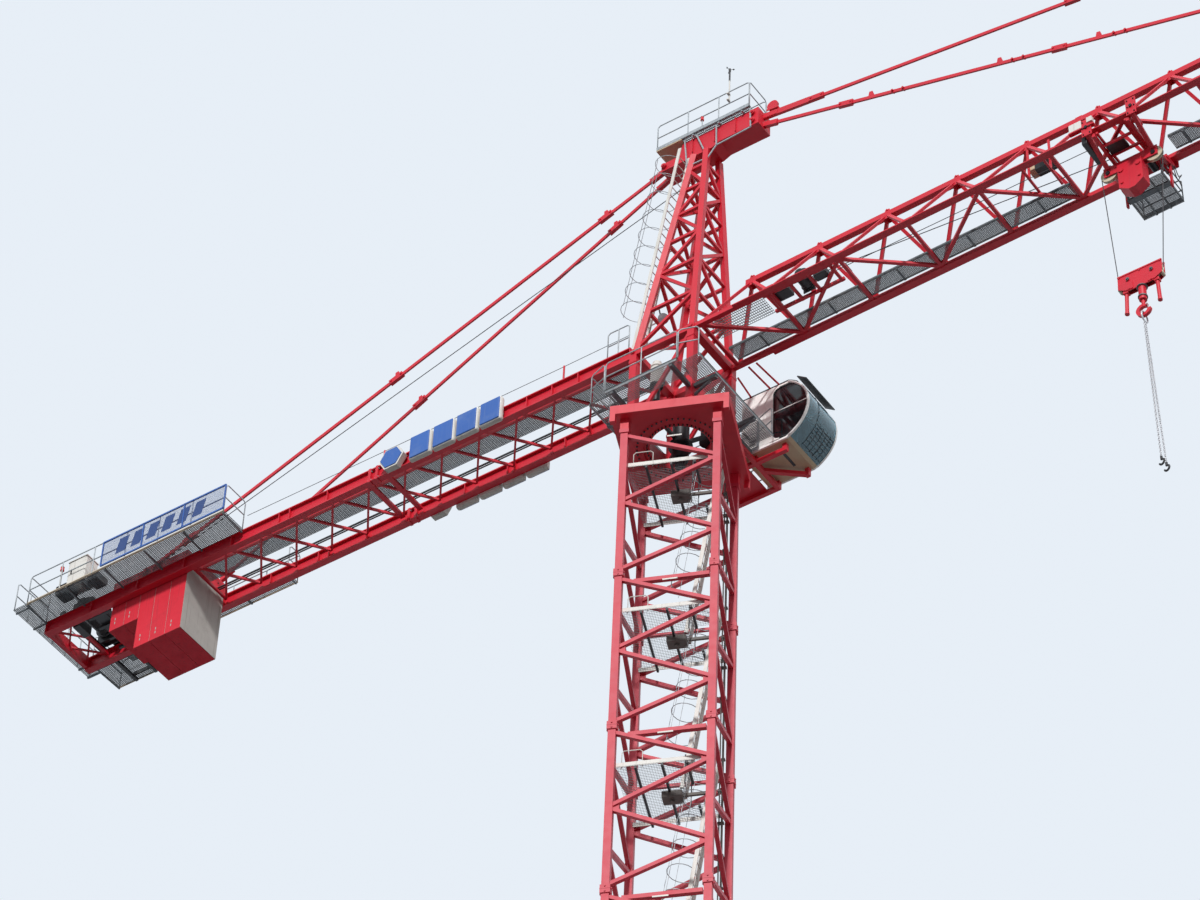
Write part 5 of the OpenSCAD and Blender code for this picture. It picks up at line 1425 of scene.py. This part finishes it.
    def banner(self, wires: Work, blue: Work, navy: Work) -> None:
        """Builds the wire mesh panel on the balcony's rail.

        Args:
            wires: The bench for the mesh.
            blue: The bench for the frame.
            navy: The bench for the plain shapes on the mesh.
        """
        (x0, x1), y, z = self.banner_x, -FACE - self.near_w, COUNTER_TOP
        wire, pitch, low, high = 0.0028, 0.02, z + 0.05, z + 0.5
        for n in range(22):
            at = low + 0.02 + 0.0195 * n
            wires.block((x0 + 0.01, y - 0.006, at), (x1 - 0.01, y - 0.004, at + wire))
        for n in range(107):
            at = x0 + pitch * (n + 1)
            wires.block((at, y - 0.006, low + 0.01), (at + wire, y - 0.004, high - 0.01))
        for n in range(6):
            x = x0 + 0.25 + 0.27 * n
            navy.plate([(x, z + 0.14), (x + 0.17, z + 0.14), (x + 0.23, z + 0.41), (x + 0.06, z + 0.41)],
                       y - 0.009, y - 0.007)
        for at in (low, high - 0.005):
            blue.block((x0, y - 0.012, at - 0.012), (x1, y + 0.006, at + 0.012))
        for n in range(4):
            x = x0 + (x1 - x0) * n / 3
            blue.block((x - 0.008, y - 0.012, low), (x + 0.008, y + 0.006, high))

    def boards(self) -> None:
        """Builds the sign shapes on both sides and the framed mesh panel."""
        white, blue, wires, navy = Work(), Work(), Work(), Work()
        self.signs(white, blue)
        self.banner(wires, blue, navy)
        white.finish("board_panels", Body.SLEWING, WHITE, "sign_boards")
        blue.finish("board_tiles", Body.SLEWING, BLUE)
        navy.finish("banner_shapes", Body.SLEWING, NAVY)
        wires.finish("banner_wires", Body.SLEWING, WIRE_MESH)

    def ties(self) -> None:
        """Adds turnbuckles and pins to the ties, and the warning lamp at the end."""
        work, post, lens = Work(), Work(), Work()
        for s in SIDES:
            start, foot = Vector((-0.35, s * 0.075, 21.015)), Vector((-8.61, s * 0.46, 17.345))
            way = (foot - start).normalized()
            for d in (0.9, 4.55):
                for off in (0.03, 0.2):
                    at = start + way * (d + off)
                    work.pin((at.x, at.z), at.y - 0.037, at.y + 0.037, 0.017, 12)
                at = start + way * (d + 0.115)
                work.plate([(at.x - 0.03, at.z + 0.03), (at.x + 0.05, at.z + 0.06),
                            (at.x + 0.02, at.z + 0.13), (at.x - 0.03, at.z + 0.12)],
                           at.y - 0.006, at.y + 0.006)
            work.pin((foot.x, foot.z), foot.y - 0.045, foot.y + 0.045, 0.03, 16)
        at, low = (-9.83, 0.03 - FACE - self.near_w), COUNTER_TOP + 0.37
        post.post(at, COUNTER_TOP, low, 0.012, 10)
        post.post(at, low + 0.06, low + 0.067, 0.028, 20)
        lens.post(at, low, low + 0.06, 0.03, 20, 0.025)
        post.finish("end_lamp_post", Body.SLEWING, CREAM, slot="white_enamel")
        work.finish("counter_tie_pins", Body.SLEWING, RED)
        lens.finish("end_lamp", Body.SLEWING, RED_LENS)

    def machines(self) -> None:
        """Adds the hoist's gearbox, motor with fins, brake and rope guide, and their frame."""
        work = Work()
        x, z, top, low = self.winch_x, self.winch_z, COUNTER_TOP, COUNTER_Z
        # The machines are near-black oiled steel; their darkness is also painted shade at the far balcony's
        # end
        work.block((x - 0.17, 0.33, z - 0.17), (x + 0.17, 0.44, z + 0.15), 0.015)
        work.pin((x, z), 0.44, 0.86, 0.115, 32)
        work.pin((x, z), 0.86, 0.91, 0.125, 32)
        for a, b in around(18, 0.12):
            work.bar((x + a, 0.48, z + b), (x + a, 0.84, z + b), 0.006, 0.02)
        for y in (0.56, 1.02):
            work.block((-10.05, y, top), (-9.35, y + 0.04, top + 0.05))
        # The beams under the far balcony are near-black as painted shade under it
        for beam in (-10.05, -9.7, -9.39):
            work.block((beam, 0.52, top - 0.075), (beam + 0.04, 1.1, top - 0.025))
        work.block((-9.6, 0.6, top + 0.05), (-9.4, 0.95, top + 0.3), 0.01)
        for y in (-0.34, -0.12, 0.12, 0.34):
            work.bar((-9.72, y, low + 0.06), (-9.34, y, low + 0.06), 0.04, 0.05)
        work.block((-9.66, -0.3, low + 0.08), (-9.46, 0.26, low + 0.2), 0.01)
        work.block((-10.0, -0.36, low + 0.02), (-9.88, -0.1, low + 0.18), 0.01)
        work.pin((-9.56, top + 0.07), -0.26, 0.26, 0.03, 20)
        work.finish("hoist_machines", Body.SLEWING, OILED)

    def build(self, nodes: dict[str, bpy.types.Object]) -> None:
        """Dresses the counter-jib and builds its detail."""
        dress(nodes, ("counter_jib_beams", "counter_jib_bracing", "counter_jib_ties"), RED)
        self.gratings()
        self.beams()
        self.hoist()
        self.machines()
        self.rope()
        self.ballast(nodes)
        self.cabinet()
        self.boards()
        self.ties()


@dataclass
class Cab:
    """The driver's cab with its rims, screen frame, seat and roof."""

    x: float = 0.29
    y: float = 0.975
    z: float = 16.0
    length: float = 0.685
    width: float = 0.7
    height: float = 1.06
    bulge: float = 0.35
    window_x: float = 0.87
    corner_r: float = 0.09
    guard_y: float = 0.25
    guard_wire: float = 0.003
    visor_x: float = 0.85
    rod_r: float = 0.014
    landing_x: float = -0.25

    def __post_init__(self) -> None:
        """Works out the arc of the cab's front."""
        self.arc_r = ((self.height / 2) ** 2 + self.bulge ** 2) / (2 * self.bulge)
        self.arc_x = self.x + self.length + self.bulge - self.arc_r

    def arc(self, r: float, low: float, high: float, y: float, steps: int = 18) -> list[Vector]:
        """Points on an arc about the cab's front, between two heights above the floor."""
        mid = self.height / 2
        a0, a1 = math.asin((low - mid) / r), math.asin((high - mid) / r)
        return [Vector((self.arc_x + r * math.cos(a), y, self.z + mid + r * math.sin(a)))
                for a in (a0 + (a1 - a0) * i / steps for i in range(steps + 1))]

    def rims(self) -> None:
        """Runs rims and seals round the side windows, and lays the screen's guard grid."""
        white, black = Work(), Work()
        post, r, z, head = self.window_x, self.corner_r, self.z, self.z + self.height
        low = [(post - r * math.cos(a), z + 0.15 - r * math.sin(a))
               for a in (math.radians(15 * n) for n in range(6, -1, -1))]
        outline = low + [(px, z + head - 0.02 - pz) for px, pz in reversed(low)]
        panel = ([(0.66, z + 0.04), (post, z + 0.04)] + outline
                 + [(post, head - 0.05), (0.66, head - 0.05)])
        for y in (self.y + 0.002, self.y + self.width - 0.002):
            white.line(self.arc(self.arc_r - 0.012, 0.03, self.height - 0.03, y), 0.014, 8)
            white.plate(panel, y - 0.006, y + 0.002)
            white.block((0.775, y - 0.004, z + 0.553), (1.3, y + 0.004, z + 0.567))
            edge = self.arc(self.arc_r - 0.034, 0.05, self.height - 0.08, y)
            seal = [(px, y - 0.004, pz) for px, pz in outline]
            black.line([edge[0]] + seal + [edge[-1]] + edge[::-1], 0.005, 6)
        grid_r, left, wire = self.arc_r + 0.004, self.y + self.guard_y, self.guard_wire
        for level in (0.05, 0.09, 0.13, 0.17, 0.21, 0.25, 0.29, 0.62):
            at = self.arc(grid_r, 0.02, self.height * level, self.y)[-1]
            black.pin((at.x, at.z), left, self.y + self.width - 0.03, wire, 6)
        for n in range(6):
            reach = self.height * (0.33 if n else 0.75)
            black.line(self.arc(grid_r, 0.04, reach, left + 0.084 * n, 8), wire, 5)
        white.finish("cab_window_rims", Body.SLEWING, CAB_WHITE)
        black.finish("cab_seals", Body.SLEWING, BLACK)

    def inside(self) -> None:
        """Builds the padded seat, the two consoles and the handrail behind the screen."""
        seat, dark = Work(), Work()
        x, y, z = self.x + 0.3, self.y + self.width / 2, self.z
        seat.pad((x - 0.12, y - 0.13, z + 0.21), (x + 0.14, y + 0.13, z + 0.31))
        seat.pad((x - 0.18, y - 0.12, z + 0.26), (x - 0.09, y + 0.12, z + 0.69))
        seat.pad((x - 0.17, y - 0.075, z + 0.68), (x - 0.1, y + 0.075, z + 0.81))
        dark.post((x, y), z + 0.026, z + 0.22, 0.05, 20)
        for s in SIDES:
            arm = y + s * 0.2
            dark.block((x - 0.1, arm - 0.045, z + 0.2), (x + 0.22, arm + 0.045, z + 0.36), 0.012)
            dark.tube((x + 0.14, arm, z + 0.36), (x + 0.15, arm, z + 0.45), 0.008, 8)
            dark.tube((x + 0.15, arm, z + 0.44), (x + 0.152, arm, z + 0.48), 0.016, 12)
        rail, left, right = self.x + 0.86, self.y + 0.06, self.y + 0.64
        dark.line([(rail - 0.08, left, z + 0.3), (rail, left, z + 0.45), (rail, right, z + 0.45),
                   (rail - 0.08, right, z + 0.3)], 0.009, 8)
        seat.finish("driver_seat", Body.SLEWING, SEAT)
        dark.finish("cab_controls", Body.SLEWING, BLACK)

    def outside(self) -> None:
        """Adds panels, roof ribs, visor, a black plate as painted shade in the floor slot, louvre, rods and
        the landing's rail.
        """
        white, dark, zinc, red = Work(), Work(), Work(), Work()
        x, y, z, top, far = self.x, self.y, self.z, self.z + self.height, self.y + self.width
        for panel in (x + 0.02, x + 0.2):
            white.block((panel, y - 0.004, z + 0.06), (panel + 0.165, y + 0.002, top - 0.1), 0.003)
        for n in range(6):
            rib = x + 0.06 + n * 0.1
            dark.block((rib, y + 0.05, top), (rib + 0.02, far - 0.05, top + 0.012), 0.003)
        visor = x + self.visor_x
        dark.plate([(visor, top - 0.012), (visor + 0.008, top - 0.001), (visor + 0.15, top - 0.11),
                    (visor + 0.142, top - 0.122)], y, far)
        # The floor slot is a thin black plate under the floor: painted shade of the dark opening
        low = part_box("cab_floor")[0].z
        dark.block((0.775, 1.156, low - 0.004), (0.815, 1.473, low + 0.002))
        for n in range(7):
            slat = z + 0.12 + n * 0.022
            dark.block((x + 0.12, y - 0.007, slat), (x + 0.28, y - 0.003, slat + 0.01))
        for hold, foot in (((0.7, 0.5, 17.05), (0.72, y + 0.02)), ((0.82, 0.5, 17.06), (0.86, y + 0.03)),
                           ((0.5, 0.55, 17.0), (0.42, y + 0.02))):
            red.tube(hold, (*foot, top), self.rod_r, 8)
        rear, landing = self.landing_x, z - 0.05
        zinc.rail((rear, y + 0.01, landing), (rear, y + 0.66, landing), 2)
        zinc.rail((rear, far - 0.03, landing), (x - 0.02, far - 0.03, landing), 2)
        white.finish("cab_panels", Body.SLEWING, CAB_WHITE)
        dark.finish("cab_roof_ribs", Body.SLEWING, BLACK)
        zinc.finish("cab_landing_rail", Body.SLEWING, ZINC)
        red.finish("cab_rods", Body.SLEWING, RED)

    def build(self, nodes: dict[str, bpy.types.Object]) -> None:
        """Dresses the cab and builds its detail."""
        for name, look in (("cab_sides", CAB_WHITE), ("cab_floor", CREAM), ("cab_roof", BLACK),
                           ("cab_glass", TINTED), ("cab_support", RED)):
            dress(nodes, (name,), look)
        self.rims()
        self.inside()
        self.outside()


@dataclass
class Trolley:
    """The trolley under the jib with its basket and rollers."""

    x: float = 6.675
    wheel: float = 0.315
    carrier: float = 0.545
    cable: float = 0.012
    cable_steps: int = 16
    cable_span: float = 0.18
    axle: float = JIB_Z + 0.028
    basket_half: float = 0.285
    basket_y: tuple[float, float] = (0.225, 0.8)
    basket_z: float = JIB_Z - 0.48
    frame_z: float = JIB_Z - 0.13

    def frame(self) -> None:
        """Adds bolts and axle caps to the carriers, and caps and cross bars to the frame."""
        work, red = Work(JIB), Work(JIB)
        x, z, out = self.x, JIB_Z, self.carrier
        for s in SIDES:
            for wheel in (x - self.wheel, x + self.wheel):
                for dx in (-0.045, 0.045):
                    for dz in (0.14, 0.02, -0.09):
                        work.bolt((wheel + dx, s * out, z + dz), (0, s, 0), 0.01)
                work.pin((wheel, self.axle), s * out, s * (out + 0.02), 0.022, 16)
            for sheave in (x - 0.317, x + 0.317):
                work.pin((sheave, z - 0.36), s * 0.044, s * 0.06, 0.03, 16)
            for cap in (x - 0.12, x + 0.12):
                red.pin((cap, z - 0.47), s * 0.085, s * 0.1, 0.035, 20)
                red.pin((cap, z - 0.7), s * 0.085, s * 0.1, 0.02, 16)
        for bar in (x - 0.2, x + 0.2):
            red.bar((bar, -0.5, z - 0.11), (bar, 0.5, z - 0.11), 0.03, 0.03)
        work.finish("trolley_bolts", Body.TROLLEY, OILED)
        red.finish("trolley_caps", Body.TROLLEY, RED)

    def loops(self) -> None:
        """Hangs two short cables beside the basket, each a cord with both ends on the trolley."""
        steps, start, high = self.cable_steps, 0.46, JIB_Z - 0.16
        for n, (dx, sag) in enumerate(((0.34, 0.16), (0.36, 0.12)), 1):
            work = Work(JIB)
            points = [Vector((self.x + dx, start + self.cable_span * i / steps,
                              high - sag * math.sin(math.pi * i / steps))) for i in range(steps + 1)]
            work.line(points, self.cable / 2, 10)
            made = work.finish(f"trolley_cable_{n}", Body.TROLLEY, BLACK)

    def basket(self) -> None:
        """Builds the basket: grating floor on two bearers, tube rails and toe boards."""
        work, floor = Work(JIB), Work(JIB)
        x0, x1, (y0, y1) = self.x - self.basket_half, self.x + self.basket_half, self.basket_y
        z, top, inset = self.basket_z, self.basket_z + 0.02, 0.008
        floor.grating((x0, y0, z + 0.01), (x1, y1, top), 0.014, 30, thick=0.0037)
        for bearer in (self.x - 0.1, self.x + 0.1):
            floor.block((bearer - 0.012, y0, z), (bearer + 0.012, y1, z + 0.01))
        floor.finish("trolley_cradle_floor", Body.TROLLEY, ZINC_SHADED)
        work.rail((x0 + inset, y1 - inset, top), (x1 - inset, y1 - inset, top), 2, 0.42, toe=0.08)
        for x in (x0 + inset, x1 - inset):
            work.rail((x, y0 + inset, top), (x, y1 - inset, top), 1, 0.33, toe=0.06)
        work.block((x0 - 0.016, JIB_HALF - 0.06, z), (x1 + 0.016, JIB_HALF + 0.02, top))
        work.finish("trolley_cradle", Body.TROLLEY, ZINC_SHADED, "trolley_basket")

    def drive(self) -> None:
        """Adds the frame's cross bars, rope clamp and brake, and the pale boxes at its near rear."""
        dark, pale, red = Work(JIB), Work(JIB), Work(JIB)
        x, z, rail, near = self.x, self.frame_z, JIB_Z, -0.56
        for beam in (x - 0.24, x + 0.24):
            red.block((beam - 0.02, -0.52, z - 0.05), (beam + 0.02, 0.52, z + 0.01))
        for y in (-0.3, -0.1, 0.12, 0.3):
            red.block((x - 0.24, y - 0.012, z - 0.04), (x + 0.24, y + 0.012, z))
        dark.block((x - 0.2, -0.28, z - 0.02), (x + 0.05, -0.12, z + 0.012))
        dark.pin((x + 0.14, z - 0.03), 0.14, 0.38, 0.05, 24)
        dark.block((x - 0.19, 0.14, z - 0.06), (x - 0.02, 0.28, z + 0.005), 0.008)
        dark.block((x - 0.42, -0.5, rail - 0.2), (x - 0.345, -0.1, rail - 0.07), 0.008)
        pale.block((x - 0.55, near, rail + 0.05), (x - 0.375, near + 0.07, rail + 0.19), 0.006)
        pale.block((x - 0.3, near, rail + 0.1), (x - 0.22, near + 0.06, rail + 0.19), 0.006)
        pale.block((x - 0.2, 0.16, z - 0.075), (x - 0.12, 0.26, z - 0.06), 0.004)
        red.block((x - 0.56, near, rail + 0.03), (x - 0.2, near + 0.06, rail + 0.05))
        dark.finish("trolley_machines", Body.TROLLEY, OILED)
        pale.finish("trolley_boxes", Body.TROLLEY, WHITE)
        red.finish("trolley_cross_bars", Body.TROLLEY, RED)

    def build(self, nodes: dict[str, bpy.types.Object]) -> None:
        """Dresses the trolley and builds its detail."""
        dress(nodes, ("trolley_frame",), RED)
        dress(nodes, ("trolley_rollers",), NYLON)
        self.frame()
        self.drive()
        self.loops()
        self.basket()


@dataclass
class HookBlock:
    """The hook block on its two falls, with the hook and the chain sling."""

    top_x: float = 0.4314
    low_x: float = 0.3008
    half: float = 0.302
    rope_r: float = 0.006
    link_wire: float = 0.006
    link_pitch: float = 0.034
    chain_l: float = 2.42
    cheek_y: float = 0.04
    sheave_x: float = 0.162
    spigot: tuple[float, float] = (0.21, 0.36)
    hook_drop: float = 0.6

    def falls(self) -> None:
        """Draws the two rope falls, which stretch between trolley and block."""
        for side, s in (("near", -1), ("far", 1)):
            work = Work()
            work.tube((HOOK_X + s * self.low_x, 0, BLOCK_Z), (HOOK_X + s * self.top_x, 0, FALL_Z),
                      self.rope_r, 10)
            fall = work.shape(f"rope_fall_{side}", ROPE)
            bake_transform(fall)
            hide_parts("hoist_falls")
            log.info("%s hangs between trolley and block", fall.name)

    def block(self) -> None:
        """Adds edge and corner plates, pins, bolts, spigots and guide rollers to the cheeks."""
        steel, red, cream = Work(), Work(), Work()
        x, z, wide, out = HOOK_X, BLOCK_Z, self.half, self.cheek_y
        centre, corner = Vector((x, 0, z)), ((0.1, -0.05), (0.3, -0.05), (0.3, -0.12), (0.2, -0.178),
                                             (0.1, -0.178))
        for s in SIDES:
            near, far = s * out, s * (out + 0.008)
            for sheave in (x - self.sheave_x, x + self.sheave_x):
                steel.pin((sheave, z), s * 0.05, s * 0.06, 0.024, 20)
                steel.bolt((sheave, s * 0.06, z), (0, s, 0), 0.014)
            for dx, dz in ((-0.28, 0.085), (0.28, 0.085), (0, 0.08), (-0.15, -0.165), (0.15, -0.165)):
                red.bolt((x + dx, near, z + dz), (0, s, 0), 0.01)
            red.plate(wedge(x, z + 0.09, z + 0.11, wide, wide), near, far)
            for t in SIDES:
                red.plate([(x + t * dx, z + dz) for dx, dz in corner], near, far)
            foot, drop = centre + Vector((s * self.spigot[0], 0, -0.18)), self.spigot[1]
            red.block(foot + Vector((-0.035, -0.036, -0.03)), foot + Vector((0.035, 0.036, 0.02)), 0.006)
            end = foot + Vector((s * 0.015, 0, -drop))
            red.tube(foot, end, 0.025, 16)
            red.tube(foot + Vector((s * 0.014, 0, 0.02 - drop)), end - Vector((0, 0, 0.005)), 0.03, 16)
            cream.pin((x - s * 0.285, z - 0.11), -0.034, 0.034, 0.024, 16)
        steel.post((x, 0), z - 0.19, z - 0.2, 0.07, 24)
        steel.post((x, 0), z - 0.36, z - 0.375, 0.062, 24)
        steel.finish("block_bolts", Body.BLOCK, ZINC_SHADED, slot="dark_steel")
        red.finish("block_edges", Body.BLOCK, RED)
        cream.finish("block_guides", Body.BLOCK, NYLON)

    def latch(self) -> None:
        """Adds the spring latch across the hook's mouth and its pin."""
        work = Work()
        x, z = HOOK_X + 0.045, BLOCK_Z - self.hook_drop + 0.075
        work.bar((x, 0, z), (x + 0.038, 0, z - 0.07), 0.02, 0.008)
        work.pin((x, z), -0.026, 0.026, 0.008, 12)
        work.finish("hook_latch", Body.HOOK, CHAIN)

    def sling(self) -> None:
        """Builds the ring and the two chain legs, link by link, with their end hooks."""
        work, dark = Work(), Work()
        # The ring hangs in the hook's bowl, where its own height follows from both radii
        bowl_r, ring_side, ring_r = 0.064, 0.022, 0.075
        hold = math.sqrt(bowl_r ** 2 - ring_side ** 2)
        centre = Vector((HOOK_X, 0, BLOCK_Z - self.hook_drop - 0.0547 - hold))
        work.hoop(centre, (1, 0, 0), centre + Vector((0, ring_r, 0)), 0.011, math.tau, 28, 10)
        half, r = 0.011, 0.0095
        for s in SIDES:
            top = centre + Vector((0, s * 0.014, -0.088))
            foot = centre + Vector((0.098, s * 0.06, -0.088 - self.chain_l))
            count = int((foot - top).length / self.link_pitch)
            way = (foot - top).normalized()
            for n in range(count):
                at = top.lerp(foot, n / count)
                side = Vector((1, 0, 0)) if n % 2 else way.cross(Vector((1, 0, 0)))
                oval = [at + way * (a + math.copysign(half, a - 1e-9)) + side * b for a, b in around(10, r)]
                work.line(oval + [oval[0]], self.link_wire, 4)
            end = foot - way * 0.05
            dark.tube(end, foot, 0.016, 10)
            dark.hoop(foot + way * 0.038, (0.3, 1, 0), foot, 0.013, 1.45 * math.pi, 14, 8)
        work.finish("sling_links", Body.HOOK, CHAIN, "sling_chain")
        dark.finish("sling_hooks", Body.HOOK, OILED)

    def build(self, nodes: dict[str, bpy.types.Object]) -> None:
        """Dresses the block and builds its detail."""
        dress(nodes, ("hook_cheeks", "hook"), RED)
        dress(nodes, ("hook_sheaves",), NYLON)
        self.falls()
        self.block()
        self.latch()
        self.sling()


# Studio
@dataclass
class Studio:
    """The pale floor, the soft lights and the camera at the photograph's place."""

    floor_r: float = 6.5
    place: tuple[float, float, float] = (22.2039, -32.0119, -23.6204)
    right: tuple[float, float, float] = (0.825322, 0.563663, 0.033574)
    up: tuple[float, float, float] = (0.379833, -0.598186, 0.705621)
    focal: float = 129.277
    sun_from: tuple[float, float, float] = (0.38, -0.8, 0.52)

    def floor(self) -> None:
        """Lays the pale floor as a disc under the foot."""
        made = bmesh.new()
        bmesh.ops.create_circle(made, cap_ends=True, segments=96, radius=self.floor_r)
        mesh = bpy.data.meshes.new("floor")
        made.to_mesh(mesh)
        made.free()
        disc = bpy.data.objects.new("floor", mesh)
        bpy.context.scene.collection.objects.link(disc)
        paper = bpy.data.materials.new("pale_floor")
        paper.use_nodes = True
        shader = paper.node_tree.nodes["Principled BSDF"]
        shader.inputs["Base Color"].default_value = linear("#D4D3D0")
        shader.inputs["Roughness"].default_value = 0.9
        mesh.materials.append(paper)

    def world(self) -> None:
        """Sets an even soft light whose background shows pale."""
        world = bpy.data.worlds.new("studio")
        bpy.context.scene.world = world
        world.use_nodes = True
        tree = world.node_tree
        tree.nodes.clear()
        ray = node(tree, "LightPath")
        seen = node(tree, "Math", {"operation": "MAXIMUM"}, i0=ray.outputs["Is Camera Ray"],
                    i1=ray.outputs["Is Transmission Ray"])
        shown = node(tree, "Math", {"operation": "MAXIMUM"}, i0=seen.outputs[0],
                     i1=ray.outputs["Is Glossy Ray"])
        way = node(tree, "SeparateXYZ", Vector=node(tree, "TexCoord").outputs["Generated"])
        height = node(tree, "MapRange", Value=way.outputs[2], From_Min=-0.7, From_Max=0.5, To_Min=0.03,
                      To_Max=0.75)
        soft = node(tree, "Background", Color=(0.93, 0.96, 1.0, 1.0), Strength=height.outputs[0])
        pale = node(tree, "Background", Color=(0.80, 0.86, 0.93, 1.0), Strength=1.0)
        both = node(tree, "MixShader", i0=shown.outputs[0], i1=soft.outputs[0], i2=pale.outputs[0])
        node(tree, "OutputWorld", Surface=both.outputs[0])

    def lights(self) -> None:
        """Hangs a large soft key lamp as a wide sun and a weak fill."""
        for name, way, power, spread in (("key", self.sun_from, 3.1, 5.0),
                                         ("fill", (1.0, 0.4, 0.3), 0.3, 30.0)):
            lamp = bpy.data.lights.new(name, "SUN")
            lamp.energy = power
            lamp.angle = math.radians(spread)
            holder = bpy.data.objects.new(name, lamp)
            holder.rotation_euler = Vector(way).to_track_quat("Z", "Y").to_euler()
            bpy.context.scene.collection.objects.link(holder)

    def camera(self) -> None:
        """Sets the camera where the photograph was taken from."""
        lens = bpy.data.cameras.new("camera")
        lens.lens = self.focal
        lens.sensor_width = 36.0
        lens.clip_end = 400.0
        eye = bpy.data.objects.new("camera", lens)
        right, up = Vector(self.right), Vector(self.up)
        turn = Matrix((right, up, right.cross(up))).transposed().to_4x4()
        eye.matrix_world = Matrix.Translation(self.place) @ turn
        bpy.context.scene.collection.objects.link(eye)
        bpy.context.scene.camera = eye

    def build(self) -> None:
        """Sets up the studio."""
        self.floor()
        self.world()
        self.lights()
        self.camera()
        bpy.context.scene.view_settings.view_transform = "Standard"


def main() -> None:
    """Builds the assemblies in order."""
    logging.basicConfig(level=logging.INFO, format="%(name)s %(message)s")
    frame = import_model()
    nodes = frame["nodes"]
    Studio().build()
    for assembly in (Mast(), Turntable(), Head(), Jib(), CounterJib(), Cab(), Trolley(), HookBlock()):
        assembly.build(nodes)
        log.info("%s is dressed", type(assembly).__name__)


if __name__ == "__main__":
    main()
